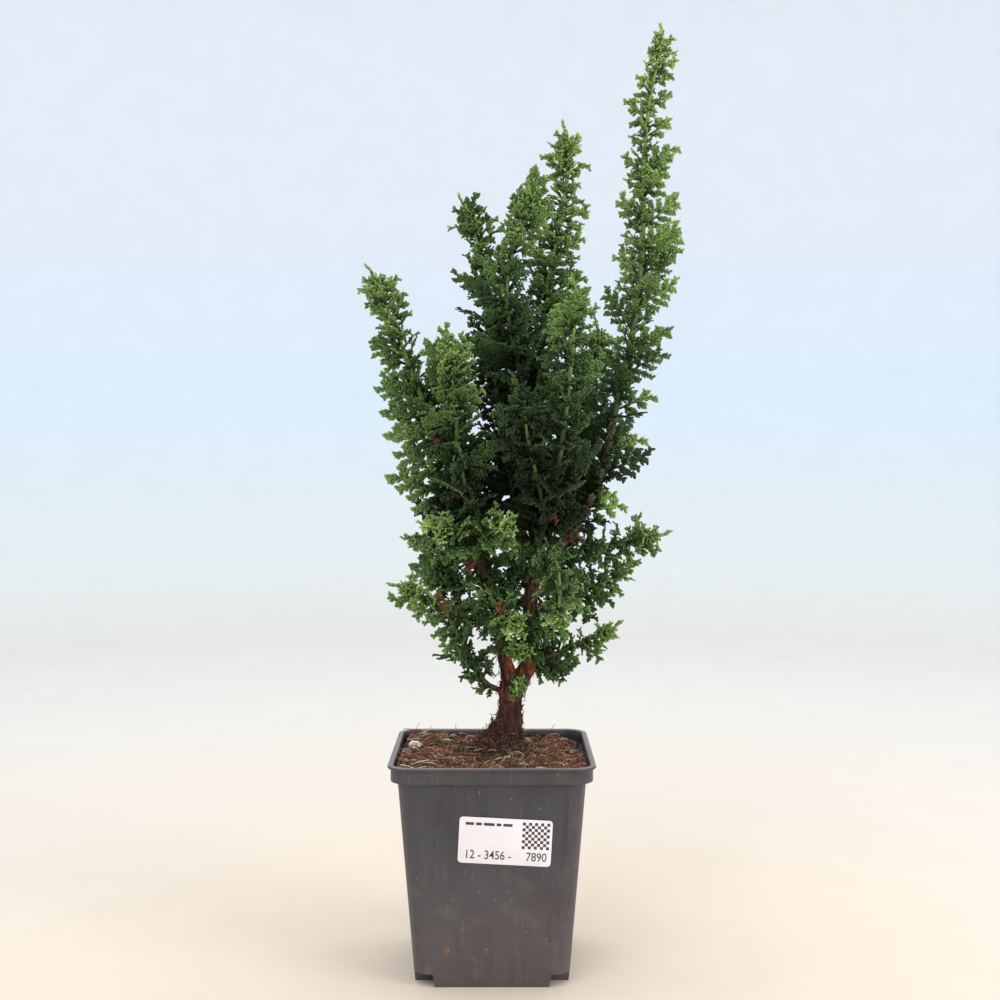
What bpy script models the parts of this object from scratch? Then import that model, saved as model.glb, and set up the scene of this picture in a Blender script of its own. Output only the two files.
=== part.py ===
"""Hinoki cypress bonsai in its square nursery pot.

Run with: blender --background --python part.py

Units are metres and +Z is up. The origin is the middle of the pot's base, on the surface that
the pot stands on, and the front with the label faces -Y. The tree is a short trunk that forks
into two limbs, and each leader or side branch that leaves them is a stem with flat sprays on
it, fused into one body. The sprays are placed along each stem by one rule with seeded draws.
"""

import math
import random

import bmesh
import bpy
from mathutils import Matrix, Vector
from mathutils.bvhtree import BVHTree

MM = 0.001
GAP = 0.3 * MM
SEED = 11

# Pot, a thin moulded square tub with a collar and a lip
POT_HEIGHT = 120 * MM
LIP_HALF = 55 * MM
LIP_THICK = 1.7 * MM
COLLAR_HALF = 53.5 * MM
COLLAR_HEIGHT = 9 * MM
BODY_TOP_HALF = 50 * MM
BASE_HALF = 41.3 * MM
WALL = 1.5 * MM
FLOOR = 2 * MM
TOP_CORNER = 10 * MM
BASE_CORNER = 9 * MM
CORNER_STEPS = 6

# Raised corners of the base, each with a drain hole
FOOT_HALF = 29.5 * MM
FOOT_SLANT = 2 * MM
NOTCH_HEIGHT = 7 * MM
DRAIN_RADIUS = 2.8 * MM
DRAIN_OFFSET = 35.5 * MM

# Label on the front wall
LABEL_SIZE = (49 * MM, 25 * MM)
LABEL_THICK = 0.6 * MM
LABEL_CORNER = 2 * MM
LABEL_CENTRE = (7 * MM, 80 * MM)
LABEL_TILT = math.radians(3)

# Soil, nearly level, with a hollow in the back right corner and a plain hole for the trunk
SOIL_LEVEL = 115.2 * MM
SOIL_BUMP = 0.9 * MM
SOIL_SLOPE = 0.024
HOLLOW_DEPTH = 5 * MM
HOLLOW_PLACE = (36 * MM, 34 * MM)
HOLLOW_REACH = 20 * MM
SOIL_RINGS = (0.0, 0.2, 0.45, 0.7, 0.87, 1.0)
SOIL_SPOKES = 32

# Trunk foot, a round plug in the soil, and the flare above it
FOOT_PLACE = (8 * MM, 0.0)
FOOT_RADIUS = 13.8 * MM
FOOT_BOTTOM = 103 * MM
TRUNK_SIDES = 14
LIMB_SIDES = 10

# Centre lines in mm as (x, y, z, radius)
TRUNK_LINE = (
    (8, 0, 103, 13.6), (8, 0, 109, 13.8), (8, 0, 115, 13.8), (8, 0, 118, 11.6), (9, 0, 122, 8.8),
    (9, 0, 127, 7.2), (10, 0, 133, 6.5), (10, 0, 140, 6.3), (10, 0, 147, 6.3), (11, 0, 153, 6.8),
    (12, 0, 158, 6.4), (12, 0, 161, 4.2),
)
LEFT_LIMB = (
    (11, 0, 154, 4.6), (8, -2, 166, 3.9), (5, -3, 180, 3.4), (2, -4, 197, 3.3), (-4, -6, 214, 3.2),
    (-10, -8, 229, 2.6),
)
RIGHT_LIMB = (
    (13, 0, 153, 5.0), (20, 1, 166, 4.6), (22, 2, 180, 4.3), (21, 2, 198, 4.1), (23, 3, 216, 3.8),
    (25, 4, 234, 3.0),
)
STUB = ((6, -2, 172, 1.6), (2, -4, 175, 1.6), (-2, -5, 176, 1.2))

# Loose stones on the soil, as (name, x, y, half sizes) in mm
PEBBLES = (
    ("white_pebble", -44, 18, (4.0, 3.4, 2.8)),
    ("green_pebble", -26, 33, (2.4, 2.1, 1.7)),
)

# Leafy stems: name, radius at the foot in mm, sprays, their length in mm at foot and tip, the
# bare share of the stem, and the route in mm. The first point lies inside what carries it.
LEAFY_STEMS = (
    ("far_left_leader", 2.4, 13, 27, 15, 0.10,
     ((-10, -8, 227), (-19, -12, 261), (-27, -14, 289), (-40, -14, 318), (-49, -12, 342),
      (-59, -9, 367), (-64, -7, 384))),
    ("left_leader", 2.2, 10, 27, 19, 0.18,
     ((-5, -6, 216), (-13, -18, 250), (-18, -27, 290), (-21, -30, 318), (-21, -31, 334),
      (-12, -33, 346))),
    ("inner_left_leader", 2.2, 12, 28, 14, 0.20,
     ((23, 3, 218), (13, 9, 257), (3, 12, 313), (-2, 12, 364), (-6, 10, 394), (-11, 8, 408),
      (-14, 6, 425))),
    ("main_leader", 2.5, 14, 28, 14, 0.15,
     ((25, 4, 230), (25, 6, 285), (27, 6, 335), (31, 5, 377), (36, 4, 405), (41, 2, 435),
      (41, 0, 464))),
    ("main_side_leader", 1.7, 8, 26, 15, 0.15,
     ((25, 6, 290), (15, -1, 329), (8, -7, 365), (11, -9, 392), (19, -9, 410), (26, -8, 432))),
    ("front_leader", 2.1, 10, 27, 17, 0.15,
     ((24, 3, 226), (34, -22, 268), (40, -32, 312), (43, -34, 344), (45, -34, 375))),
    ("front_short_leader", 1.7, 6, 27, 19, 0.18,
     ((23, 3, 221), (28, -18, 250), (22, -30, 278), (17, -37, 305), (18, -38, 326))),
    ("tall_right_leader", 2.6, 20, 28, 12, 0.10,
     ((23, 3, 216), (46, 6, 242), (61, 8, 274), (71, 8, 319), (79, 6, 357), (83, 4, 396),
      (83, 2, 434), (86, 0, 474), (91, -1, 500), (94, -2, 516))),
    ("right_branch", 1.7, 6, 22, 14, 0.25,
     ((22, 3, 210), (42, 10, 226), (63, 14, 232), (82, 13, 233), (95, 11, 243))),
    ("right_middle_branch", 1.5, 4, 20, 14, 0.25,
     ((21, 2, 196), (40, 12, 200), (60, 17, 209), (82, 18, 220))),
    ("right_low_branch", 1.5, 5, 17, 12, 0.28,
     ((21, 1, 167), (33, -2, 172), (45, -5, 177), (57, -7, 183), (72, -8, 187))),
    ("back_low_spray", 1.3, 3, 16, 14, 0.30,
     ((20, 2, 164), (30, 14, 164), (39, 24, 161), (46, 30, 158))),
    ("left_low_branch", 1.6, 7, 18, 13, 0.30,
     ((10, 0, 150), (-3, -3, 156), (-10, -7, 168), (-18, -11, 183), (-27, -14, 199),
      (-38, -16, 209), (-55, -18, 207))),
    ("front_spray", 1.4, 5, 21, 17, 0.25,
     ((3, -4, 190), (3, -18, 199), (8, -29, 195), (16, -37, 184))),
    ("front_low_spray", 1.2, 3, 16, 14, 0.35,
     ((7, -2, 170), (11, -14, 176), (17, -25, 172))),
    ("trunk_sprig", 1.0, 2, 11, 10, 0.40,
     ((11, 0, 150), (12, -10, 152), (14, -18, 157))),
    ("hanging_spray", 1.6, 6, 22, 17, 0.25,
     ((23, 3, 213), (28, -16, 229), (34, -30, 226), (36, -38, 208), (33, -38, 186))),
    ("left_shelf_spray", 1.4, 5, 22, 17, 0.25,
     ((-7, -7, 222), (-16, -24, 236), (-26, -35, 243), (-39, -40, 244))),
    ("front_shelf_spray", 1.4, 4, 22, 17, 0.25,
     ((-9, -8, 226), (-4, -25, 238), (4, -38, 244), (14, -45, 246))),
    ("left_back_spray", 1.4, 4, 21, 16, 0.25,
     ((-6, -6, 219), (-21, 3, 226), (-34, 8, 232), (-47, 11, 238))),
    ("left_middle_spray", 1.4, 4, 20, 16, 0.25,
     ((-2, -5, 207), (-17, 4, 211), (-30, 10, 214), (-43, 12, 218))),
    ("left_inner_spray", 1.3, 3, 18, 15, 0.30,
     ((3, -4, 193), (-8, 8, 196), (-18, 16, 197), (-27, 20, 192))),
    ("back_leader", 2.0, 9, 29, 18, 0.20,
     ((23, 3, 222), (22, 26, 262), (17, 42, 314), (14, 45, 349), (12, 43, 380))),
    ("back_right_leader", 1.8, 8, 28, 18, 0.20,
     ((24, 3, 224), (42, 26, 258), (54, 39, 303), (60, 42, 335), (63, 40, 360))),
    ("back_left_leader", 1.8, 8, 28, 18, 0.20,
     ((0, -4, 201), (-6, 20, 245), (-16, 34, 285), (-24, 37, 314), (-27, 35, 336))),
)

# Sprays
SPRAY_THICK = 1.1 * MM
HALF_RIB = 1.0 * MM
SINK = 0.6 * MM
SPRAY_LEAN = math.radians(46)
STEM_SIDES = 5
STEM_STEP = 20 * MM
LINE_STEP = 1.5 * MM
FINE_STEPS = 16
STEM_TIP = 1.0 * MM
LIMB_REACH = 7 * MM
QUARTER_TURNS = (5, 275, 185, 95)
SPRAY_ROLLS = ((50, 85), (15, 50))
LARGE_SPRAY = 18 * MM
FAN_HUB = 0.26
FAN_SPREAD = math.radians(84)
RETRY_TURNS = (0, 28, -28, 56, -56, 90, -90)

# Clean-up after a Boolean: points closer than this melt, and edges flatter than this go
MELT = 0.004 * MM
FLAT = math.radians(1.5)

COLOURS = {
    "pot": ("54514f", 0.55),
    "soil": ("4a2c1e", 0.95),
    "trunk": ("6b3a22", 0.9),
    "label": ("efe6e6", 0.5),
    "white_pebble": ("dcd6cb", 0.7),
    "green_pebble": ("a9b394", 0.7),
    "foliage": ("3a6a33", 0.75),
}


def clear_scene():
    """Remove every object that the new file came with."""
    for thing in list(bpy.data.objects):
        bpy.data.objects.remove(thing, do_unlink=True)


def linear(channel):
    """sRGB channel, 0 to 1, as linear light."""
    if channel <= 0.04045:
        return channel / 12.92
    return ((channel + 0.055) / 1.055) ** 2.4


def material_of(key):
    """Principled material with the colour and roughness of one kind of piece."""
    made = bpy.data.materials.get(key)
    if made:
        return made
    colour, roughness = COLOURS[key]
    made = bpy.data.materials.new(key)
    made.use_nodes = True
    shader = made.node_tree.nodes["Principled BSDF"]
    channels = [linear(int(colour[i:i + 2], 16) / 255) for i in (0, 2, 4)]
    shader.inputs["Base Color"].default_value = (*channels, 1.0)
    shader.inputs["Roughness"].default_value = roughness
    shader.inputs["Metallic"].default_value = 0.0
    return made


def object_from(name, bm, key):
    """Close a bmesh into a named object with its material."""
    bmesh.ops.recalc_face_normals(bm, faces=bm.faces)
    mesh = bpy.data.meshes.new(name)
    bm.to_mesh(mesh)
    bm.free()
    mesh.materials.append(material_of(key))
    thing = bpy.data.objects.new(name, mesh)
    bpy.context.scene.collection.objects.link(thing)
    return thing


def apply_modifiers(thing):
    """Replace an object's mesh by its evaluated one and drop the modifiers."""
    bpy.context.view_layer.update()
    graph = bpy.context.evaluated_depsgraph_get()
    mesh = bpy.data.meshes.new_from_object(thing.evaluated_get(graph))
    thing.modifiers.clear()
    old = thing.data
    thing.data = mesh
    bpy.data.meshes.remove(old)


def combine(thing, others, operation):
    """One Boolean of an object with a collection, applied, and the collection removed."""
    group = bpy.data.collections.new(thing.name + "_group")
    bpy.context.scene.collection.children.link(group)
    for other in others:
        group.objects.link(other)
    boolean = thing.modifiers.new("boolean", "BOOLEAN")
    boolean.operation = operation
    boolean.operand_type = "COLLECTION"
    boolean.collection = group
    boolean.solver = "EXACT"
    apply_modifiers(thing)
    for other in others:
        bpy.data.objects.remove(other, do_unlink=True)
    bpy.data.collections.remove(group)


def keep_largest_body(bm):
    """Delete the faces that no shared edge joins to the largest body."""
    bodies = []
    waiting = set(bm.faces)
    while waiting:
        body = {waiting.pop()}
        front = set(body)
        while front:
            face = front.pop()
            near = {other for edge in face.edges for other in edge.link_faces} - body
            body |= near
            front |= near
        waiting -= body
        bodies.append(body)
    largest = max(bodies, key=len)
    scraps = [face for body in bodies if body is not largest for face in body]
    bmesh.ops.delete(bm, geom=scraps, context="FACES")


def tidy_mesh(thing):
    """Drop the scraps that a Boolean leaves, and the flat cuts where that leaves it closed."""
    bm = bmesh.new()
    bm.from_mesh(thing.data)
    bmesh.ops.remove_doubles(bm, verts=bm.verts, dist=MELT)
    keep_largest_body(bm)
    merged = bm.copy()
    bmesh.ops.dissolve_limit(merged, angle_limit=FLAT, verts=merged.verts, edges=merged.edges)
    for mesh in (bm, merged):
        bmesh.ops.triangulate(mesh, faces=mesh.faces)
    closed = all(edge.is_manifold for edge in merged.edges)
    (merged if closed else bm).to_mesh(thing.data)
    bm.free()
    merged.free()


def rounded_square(half, corner, height):
    """Points of a square with rounded corners, anticlockwise from above."""
    points = []
    for quarter in range(4):
        middle = math.radians(45 + 90 * quarter)
        centre_x = math.copysign(half - corner, math.cos(middle))
        centre_y = math.copysign(half - corner, math.sin(middle))
        for step in range(CORNER_STEPS + 1):
            angle = math.radians(90 * quarter + 90 * step / CORNER_STEPS)
            x = centre_x + corner * math.cos(angle)
            y = centre_y + corner * math.sin(angle)
            points.append(Vector((x, y, height)))
    return points


def loft(bm, rings, caps=True):
    """Join rings of equal length by faces, and close both ends."""
    rows = [[bm.verts.new(point) for point in ring] for ring in rings]
    count = len(rows[0])
    for low, high in zip(rows, rows[1:]):
        for i in range(count):
            j = (i + 1) % count
            bm.faces.new((low[i], low[j], high[j], high[i]))
    if caps:
        bm.faces.new(list(reversed(rows[0])))
        bm.faces.new(rows[-1])
    return rows


def corner_block(name, sign_x, sign_y, grow):
    """Slant-sided block that lifts one corner of the base, grown by a wall's thickness."""
    top = NOTCH_HEIGHT + grow
    inner_low = FOOT_HALF - grow
    inner_high = inner_low + FOOT_SLANT
    far = LIP_HALF
    bm = bmesh.new()
    rings = []
    for height, inner in ((-NOTCH_HEIGHT, inner_low), (0.0, inner_low), (top, inner_high)):
        ring = []
        for x, y in ((inner, inner), (far, inner), (far, far), (inner, far)):
            ring.append(Vector((sign_x * x, sign_y * y, height)))
        rings.append(ring)
    loft(bm, rings)
    return object_from(name, bm, "pot")


def corner_blocks(name, grow):
    """The four corner blocks of the base."""
    signs = [(x, y) for x in (-1, 1) for y in (-1, 1)]
    return [corner_block(f"{name}_{i}", x, y, grow) for i, (x, y) in enumerate(signs)]


def wall_half(height, inset):
    """Half width of the body's outer wall at a height, less an inset."""
    rise = height / (POT_HEIGHT - COLLAR_HEIGHT)
    return BASE_HALF + (BODY_TOP_HALF - BASE_HALF) * rise - inset


def make_cavity(name, inset, key):
    """Inside of the pot, from the floor up past the lip, less the raised corners."""
    step = POT_HEIGHT - COLLAR_HEIGHT
    floor = FLOOR + inset - WALL
    collar = COLLAR_HALF - inset
    bm = bmesh.new()
    loft(bm, [
        rounded_square(wall_half(floor, inset), BASE_CORNER - inset, floor),
        rounded_square(BODY_TOP_HALF - inset, TOP_CORNER - inset, step + FLOOR / 2),
        rounded_square(collar, TOP_CORNER, step + 1.5 * FLOOR),
        rounded_square(collar, TOP_CORNER, POT_HEIGHT + FLOOR),
    ])
    cavity = object_from(name, bm, key)
    combine(cavity, corner_blocks(name + "_corner", inset + FLOOR - WALL), "DIFFERENCE")
    return cavity


def make_pot():
    """Square tub with a stepped collar, a lip, raised base corners and drain holes."""
    step = POT_HEIGHT - COLLAR_HEIGHT
    lip = POT_HEIGHT - LIP_THICK
    edge = 0.4 * MM
    bm = bmesh.new()
    loft(bm, [
        rounded_square(BASE_HALF, BASE_CORNER, 0.0),
        rounded_square(BODY_TOP_HALF, TOP_CORNER, step),
        rounded_square(COLLAR_HALF, TOP_CORNER + WALL, step),
        rounded_square(COLLAR_HALF, TOP_CORNER + WALL, lip),
        rounded_square(LIP_HALF, TOP_CORNER + WALL, lip),
        rounded_square(LIP_HALF, TOP_CORNER + WALL, POT_HEIGHT - edge),
        rounded_square(LIP_HALF - edge, TOP_CORNER + WALL - edge, POT_HEIGHT),
    ])
    pot = object_from("pot", bm, "pot")
    cavity = make_cavity("hollow", WALL, "pot")
    combine(pot, corner_blocks("notch", 0.0) + [cavity], "DIFFERENCE")
    drills = []
    for i, (x, y) in enumerate(((-1, -1), (-1, 1), (1, -1), (1, 1))):
        bm = bmesh.new()
        place = Matrix.Translation((x * DRAIN_OFFSET, y * DRAIN_OFFSET, NOTCH_HEIGHT))
        bmesh.ops.create_cone(bm, cap_ends=True, segments=12, radius1=DRAIN_RADIUS,
                              radius2=DRAIN_RADIUS, depth=4 * FLOOR, matrix=place)
        drills.append(object_from(f"drill_{i}", bm, "pot"))
    combine(pot, drills, "DIFFERENCE")
    tidy_mesh(pot)
    pot.data.shade_smooth()
    pot.data.set_sharp_from_angle(angle=math.radians(30))
    return pot


def make_label():
    """Sticker with rounded corners on the slanted front wall."""
    width, height = LABEL_SIZE
    lean = math.atan2(BODY_TOP_HALF - BASE_HALF, POT_HEIGHT - COLLAR_HEIGHT)
    x, z = LABEL_CENTRE
    bm = bmesh.new()
    size = Matrix.Diagonal((width, LABEL_THICK, height, 1.0))
    bmesh.ops.create_cube(bm, size=1.0, matrix=size)
    short = [e for e in bm.edges if abs(e.verts[0].co.y - e.verts[1].co.y) > LABEL_THICK / 2]
    bmesh.ops.bevel(bm, geom=short, offset=LABEL_CORNER, segments=4, affect="EDGES",
                    profile=0.5)
    label = object_from("label", bm, "label")
    clear = GAP + LABEL_THICK / 2
    label.location = (x, -wall_half(z, 0.0) - clear / math.cos(lean), z)
    label.rotation_euler = (lean, LABEL_TILT, 0.0)
    return label


def soil_height(x, y):
    """Height of the soil's top at a place."""
    bumps = math.sin(330 * x + 1.1) * math.cos(290 * y) + 0.7 * math.sin(710 * x - 560 * y)
    away = math.hypot(x - HOLLOW_PLACE[0], y - HOLLOW_PLACE[1]) / HOLLOW_REACH
    hollow = HOLLOW_DEPTH * math.exp(-away * away)
    return SOIL_LEVEL + SOIL_BUMP * bumps - SOIL_SLOPE * y - hollow


def soil_ring(share):
    """Ring of the soil's top between the trunk's hole and just past the pot's wall."""
    ring = []
    for i in range(SOIL_SPOKES):
        angle = math.tau * i / SOIL_SPOKES
        across = Vector((math.cos(angle), math.sin(angle)))
        near = Vector(FOOT_PLACE) + across * (FOOT_RADIUS + GAP)
        far = across * COLLAR_HALF / max(abs(across.x), abs(across.y))
        place = near.lerp(far, share)
        ring.append(Vector((*place, soil_height(*place))))
    return ring


def make_soil():
    """Soil that fills the pot, with its bumpy top and the hole that the trunk stands in."""
    soil = make_cavity("soil", WALL + GAP, "soil")
    rings = [soil_ring(share) for share in SOIL_RINGS]
    bottom = [Vector((p.x, p.y, FOOT_BOTTOM - GAP)) for p in rings[0]]
    ceiling = [Vector((p.x, p.y, POT_HEIGHT + COLLAR_HEIGHT)) for p in rings[-1]]
    bm = bmesh.new()
    loft(bm, [bottom] + rings + [ceiling])
    bmesh.ops.triangulate(bm, faces=bm.faces)
    combine(soil, [object_from("soil_cutter", bm, "soil")], "DIFFERENCE")
    tidy_mesh(soil)
    return soil


def curve_points(points, step):
    """Points about a step apart on a Catmull-Rom curve through the given points."""
    ends = [2 * points[0] - points[1]] + list(points) + [2 * points[-1] - points[-2]]
    line = []
    for i in range(1, len(ends) - 2):
        before, start, stop, after = ends[i - 1:i + 3]
        parts = max(1, round((stop - start).length / step))
        for j in range(parts):
            t = j / parts
            bend = 2 * before - 5 * start + 4 * stop - after
            twist = -before + 3 * start - 3 * stop + after
            line.append(0.5 * (2 * start + (stop - before) * t + bend * t * t + twist * t ** 3))
    line.append(points[-1].copy())
    return line


def frame_along(direction):
    """Side and up vectors square to a direction."""
    direction = direction.normalized()
    helper = Vector((0, 1, 0)) if abs(direction.y) < 0.9 else Vector((1, 0, 0))
    side = direction.cross(helper).normalized()
    return side, side.cross(direction).normalized()


def tube(bm, line, radii, sides, ridge=0.0, round_start=False):
    """Closed tube round a line, with lengthwise ridges and, if asked, a round first end."""
    if round_start:
        back = (line[0] - line[1]).normalized()
        line = [line[0] + back * radii[0] * 0.92, line[0] + back * radii[0] * 0.5] + line
        radii = [radii[0] * 0.4, radii[0] * 0.86] + radii
    side, _ = frame_along(line[1] - line[0])
    rings = []
    for i, (centre, radius) in enumerate(zip(line, radii)):
        direction = (line[min(i + 1, len(line) - 1)] - line[max(i - 1, 0)]).normalized()
        side = (side - direction * side.dot(direction)).normalized()
        up = direction.cross(side)
        ring = []
        for j in range(sides):
            angle = math.tau * j / sides
            swell = 1 + ridge * math.sin(5 * angle + 0.7 * i) + ridge * math.cos(3 * angle - i)
            reach = radius * swell
            ring.append(centre + side * reach * math.cos(angle) + up * reach * math.sin(angle))
        rings.append(ring)
    loft(bm, rings)


def limb(name, rows, sides, ridge):
    """Tube object through rows of (x, y, z, radius) in mm."""
    line = [Vector(row[:3]) * MM for row in rows]
    radii = [row[3] * MM for row in rows]
    bm = bmesh.new()
    tube(bm, line, radii, sides, ridge)
    return object_from(name, bm, "trunk")


def make_trunk():
    """Flared trunk with its two limbs and the stub of a lost twig, grown as one piece."""
    line = [Vector(row[:3]) * MM for row in TRUNK_LINE]
    radii = [row[3] * MM for row in TRUNK_LINE]
    plug = 3
    bm = bmesh.new()
    rings = []
    for i, (centre, radius) in enumerate(zip(line, radii)):
        ring = []
        for j in range(TRUNK_SIDES):
            angle = math.tau * j / TRUNK_SIDES
            ridge = 0.0 if i < plug else 0.07
            swell = 1 + ridge * math.sin(5 * angle + i) + ridge * math.cos(3 * angle - 0.6 * i)
            reach = Vector((math.cos(angle), math.sin(angle), 0.0)) * radius * swell
            ring.append(centre + reach)
        rings.append(ring)
    loft(bm, rings)
    trunk = object_from("trunk", bm, "trunk")
    limbs = [
        limb("left_limb", LEFT_LIMB, LIMB_SIDES, 0.05),
        limb("right_limb", RIGHT_LIMB, LIMB_SIDES, 0.05),
        limb("stub", STUB, STEM_SIDES, 0.0),
    ]
    combine(trunk, limbs, "UNION")
    tidy_mesh(trunk)
    return trunk


def tree_of(bm):
    """Search tree of a bmesh."""
    return BVHTree.FromBMesh(bm)


def tree_of_object(thing):
    """Search tree of an object that stands unturned at the origin."""
    bm = bmesh.new()
    bm.from_mesh(thing.data)
    tree = tree_of(bm)
    bm.free()
    return tree


def make_pebble(name, x, y, half_sizes, soil_tree):
    """Rounded stone lowered onto the soil."""
    bm = bmesh.new()
    bmesh.ops.create_icosphere(bm, subdivisions=2, radius=MM)
    for vert in bm.verts:
        lump = 1 + 0.06 * math.sin((5 * vert.co.x + 3 * vert.co.y + 2 * vert.co.z) / MM)
        vert.co = Vector(vert.co[i] * half_sizes[i] * lump for i in range(3))
    place = Vector((x * MM, y * MM, 0.0))
    lift = 0.0
    for vert in bm.verts:
        above = vert.co + place + Vector((0.0, 0.0, POT_HEIGHT))
        ground = soil_tree.ray_cast(above + Vector((0.0, 0.0, POT_HEIGHT)), Vector((0, 0, -1)))[0]
        if vert.co.z < 0:
            lift = max(lift, ground.z - vert.co.z)
    pebble = object_from(name, bm, name)
    pebble.location = (place.x, place.y, lift + GAP)
    pebble.data.shade_smooth()
    return pebble


def clears(point, radius, trees):
    """Whether a ball round a point lies outside all trees with a gap to spare."""
    for tree in trees:
        spot, normal, _, distance = tree.find_nearest(point)
        inside = (point - spot).dot(normal) < 0 and distance < LIMB_REACH
        if inside or distance < radius + GAP:
            return False
    return True


def free_start(line, radius, trees):
    """The part of a line that starts as soon as a round end of this radius clears all trees."""
    first = next(i for i, point in enumerate(line) if clears(point, radius, trees))
    start = line[first]
    for step in range(1, FINE_STEPS):
        back = line[first].lerp(line[first - 1], step / FINE_STEPS)
        if not clears(back, radius, trees):
            break
        start = back
    return [start] + line[first + 1:]


def spray_outline(length, lobes, draw):
    """Flat fan cut into lobes all round its rib.

    Returns points (x along the rib, y across) and the triangles between them.
    """
    hub = FAN_HUB * length
    points = [(hub, 0.0), (-SINK, -HALF_RIB)]
    for i in range(lobes):
        spread = 2 * i / (lobes - 1) - 1
        angle = spread * FAN_SPREAD
        reach = (length - hub) * draw.uniform(0.92, 1.06) * (1 - 0.22 * spread * spread)
        if i:
            notch = angle - FAN_SPREAD / (lobes - 1)
            depth = (length - hub) * draw.uniform(0.50, 0.64)
            points.append((hub + depth * math.cos(notch), depth * math.sin(notch)))
        points.append((hub + reach * math.cos(angle), reach * math.sin(angle)))
    points.append((-SINK, HALF_RIB))
    last = len(points) - 1
    triangles = [(0, i, i + 1) for i in range(1, last)]
    triangles.append((0, last, 1))
    return points, triangles


def spray_plate(length, lobes, droop, draw):
    """Spray as a thin arched plate: its points in its own frame and its triangles."""
    flat, triangles = spray_outline(length, lobes, draw)
    rises = []
    for x, y in flat:
        along = x / length
        across = y / length
        rises.append(-droop * length * along * abs(along) - 0.55 * length * across * across)
    half = SPRAY_THICK / 2
    top = [Vector((x, y, z + half)) for (x, y), z in zip(flat, rises)]
    base = [Vector((x, y, z - half)) for (x, y), z in zip(flat, rises)]
    shift = len(flat)
    faces = list(triangles)
    faces += [(c + shift, b + shift, a + shift) for a, b, c in triangles]
    edges = {(a, b) for face in triangles for a, b in zip(face, face[1:] + face[:1])}
    for a, b in sorted(edges):
        if (b, a) not in edges:
            faces.append((b, a, a + shift))
            faces.append((b, a + shift, b + shift))
    return top + base, faces


def spray_frame(root, along, turn, lean, roll):
    """Matrix of a spray whose rib leans away from the stem's direction at an angle round it."""
    side, up = frame_along(along)
    outward = side * math.cos(turn) + up * math.sin(turn)
    rib = (along.normalized() * math.cos(lean) + outward * math.sin(lean)).normalized()
    across = rib.cross(outward)
    if across.length < 0.01:
        across = rib.cross(up)
    across = Matrix.Rotation(roll, 3, rib) @ across.normalized()
    normal = rib.cross(across)
    return Matrix.LocRotScale(root, Matrix((rib, across, normal)).transposed(), None)


def point_on(line, share):
    """Place and direction at a share of a line's length."""
    lengths = [0.0]
    for a, b in zip(line, line[1:]):
        lengths.append(lengths[-1] + (b - a).length)
    wanted = share * lengths[-1]
    for i in range(1, len(line)):
        if lengths[i] >= wanted:
            break
    part = (wanted - lengths[i - 1]) / (lengths[i] - lengths[i - 1])
    return line[i - 1].lerp(line[i], part), line[i] - line[i - 1]


def spray_places(row, line, draw):
    """Where one leafy stem's sprays grow: share of the stem, turn, length, lean and roll."""
    _, _, count, foot_length, tip_length, bare, _ = row
    places = []
    for i in range(count - 1):
        share = bare + (1 - bare) * i / (count - 1)
        turn = math.radians(QUARTER_TURNS[i % 4] + draw.uniform(-24, 24))
        length = (foot_length + (tip_length - foot_length) * share ** 2) * draw.uniform(0.92, 1.1)
        lean = SPRAY_LEAN * draw.uniform(0.85, 1.2)
        low, high = SPRAY_ROLLS[i % 2]
        roll = math.radians(draw.uniform(low, high)) * draw.choice((-1, 1))
        places.append((share, turn, length * MM, lean, roll))
    places.append((0.995, 0.0, tip_length * MM, math.radians(4), draw.uniform(-0.6, 0.6)))
    return places


def plate_bmesh(matrix, points, faces):
    """A spray's plate as a bmesh in the tree's frame."""
    bm = bmesh.new()
    verts = [bm.verts.new(matrix @ point) for point in points]
    for face in faces:
        bm.faces.new([verts[i] for i in face])
    return bm


def grown_spray(line, place, draw, others):
    """First turn or size of a spray that crosses nothing that grew before, or None."""
    share, turn, length, lean, roll = place
    root, along = point_on(line, share)
    lobes = 6 if length > LARGE_SPRAY else 5
    points, faces = spray_plate(length, lobes, draw.uniform(0.10, 0.30), draw)
    for size in (1.0, 0.75):
        for extra in RETRY_TURNS:
            matrix = spray_frame(root, along, turn + math.radians(extra), lean, roll)
            margin = plate_bmesh(matrix @ Matrix.Scale(size * 1.05, 4), points, faces)
            tree = tree_of(margin)
            margin.free()
            if not any(tree.overlap(other) for other in others):
                return plate_bmesh(matrix @ Matrix.Scale(size, 4), points, faces)
    return None


def grow_stems(trunk_tree):
    """Line, mesh and search tree of every leafy stem, each starting at what carries it."""
    stems = {}
    for row in LEAFY_STEMS:
        name, radius, route = row[0], row[1] * MM, row[6]
        whole = curve_points([Vector(point) * MM for point in route], LINE_STEP)
        carriers = [trunk_tree] + [stem["tree"] for stem in stems.values()]
        free = free_start(whole, radius, carriers)
        free = free[:max(5, len(free) - round(0.85 * row[4] * MM / LINE_STEP))]
        parts = max(2, round(len(free) * LINE_STEP / STEM_STEP))
        line = [free[round(i * (len(free) - 1) / parts)] for i in range(parts + 1)]
        radii = [radius + (STEM_TIP - radius) * i / parts for i in range(parts + 1)]
        bm = bmesh.new()
        tube(bm, line, radii, STEM_SIDES, 0.0, True)
        bmesh.ops.recalc_face_normals(bm, faces=bm.faces)
        stems[name] = {"line": line, "mesh": bm, "tree": tree_of(bm), "sprays": []}
    return stems


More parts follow.
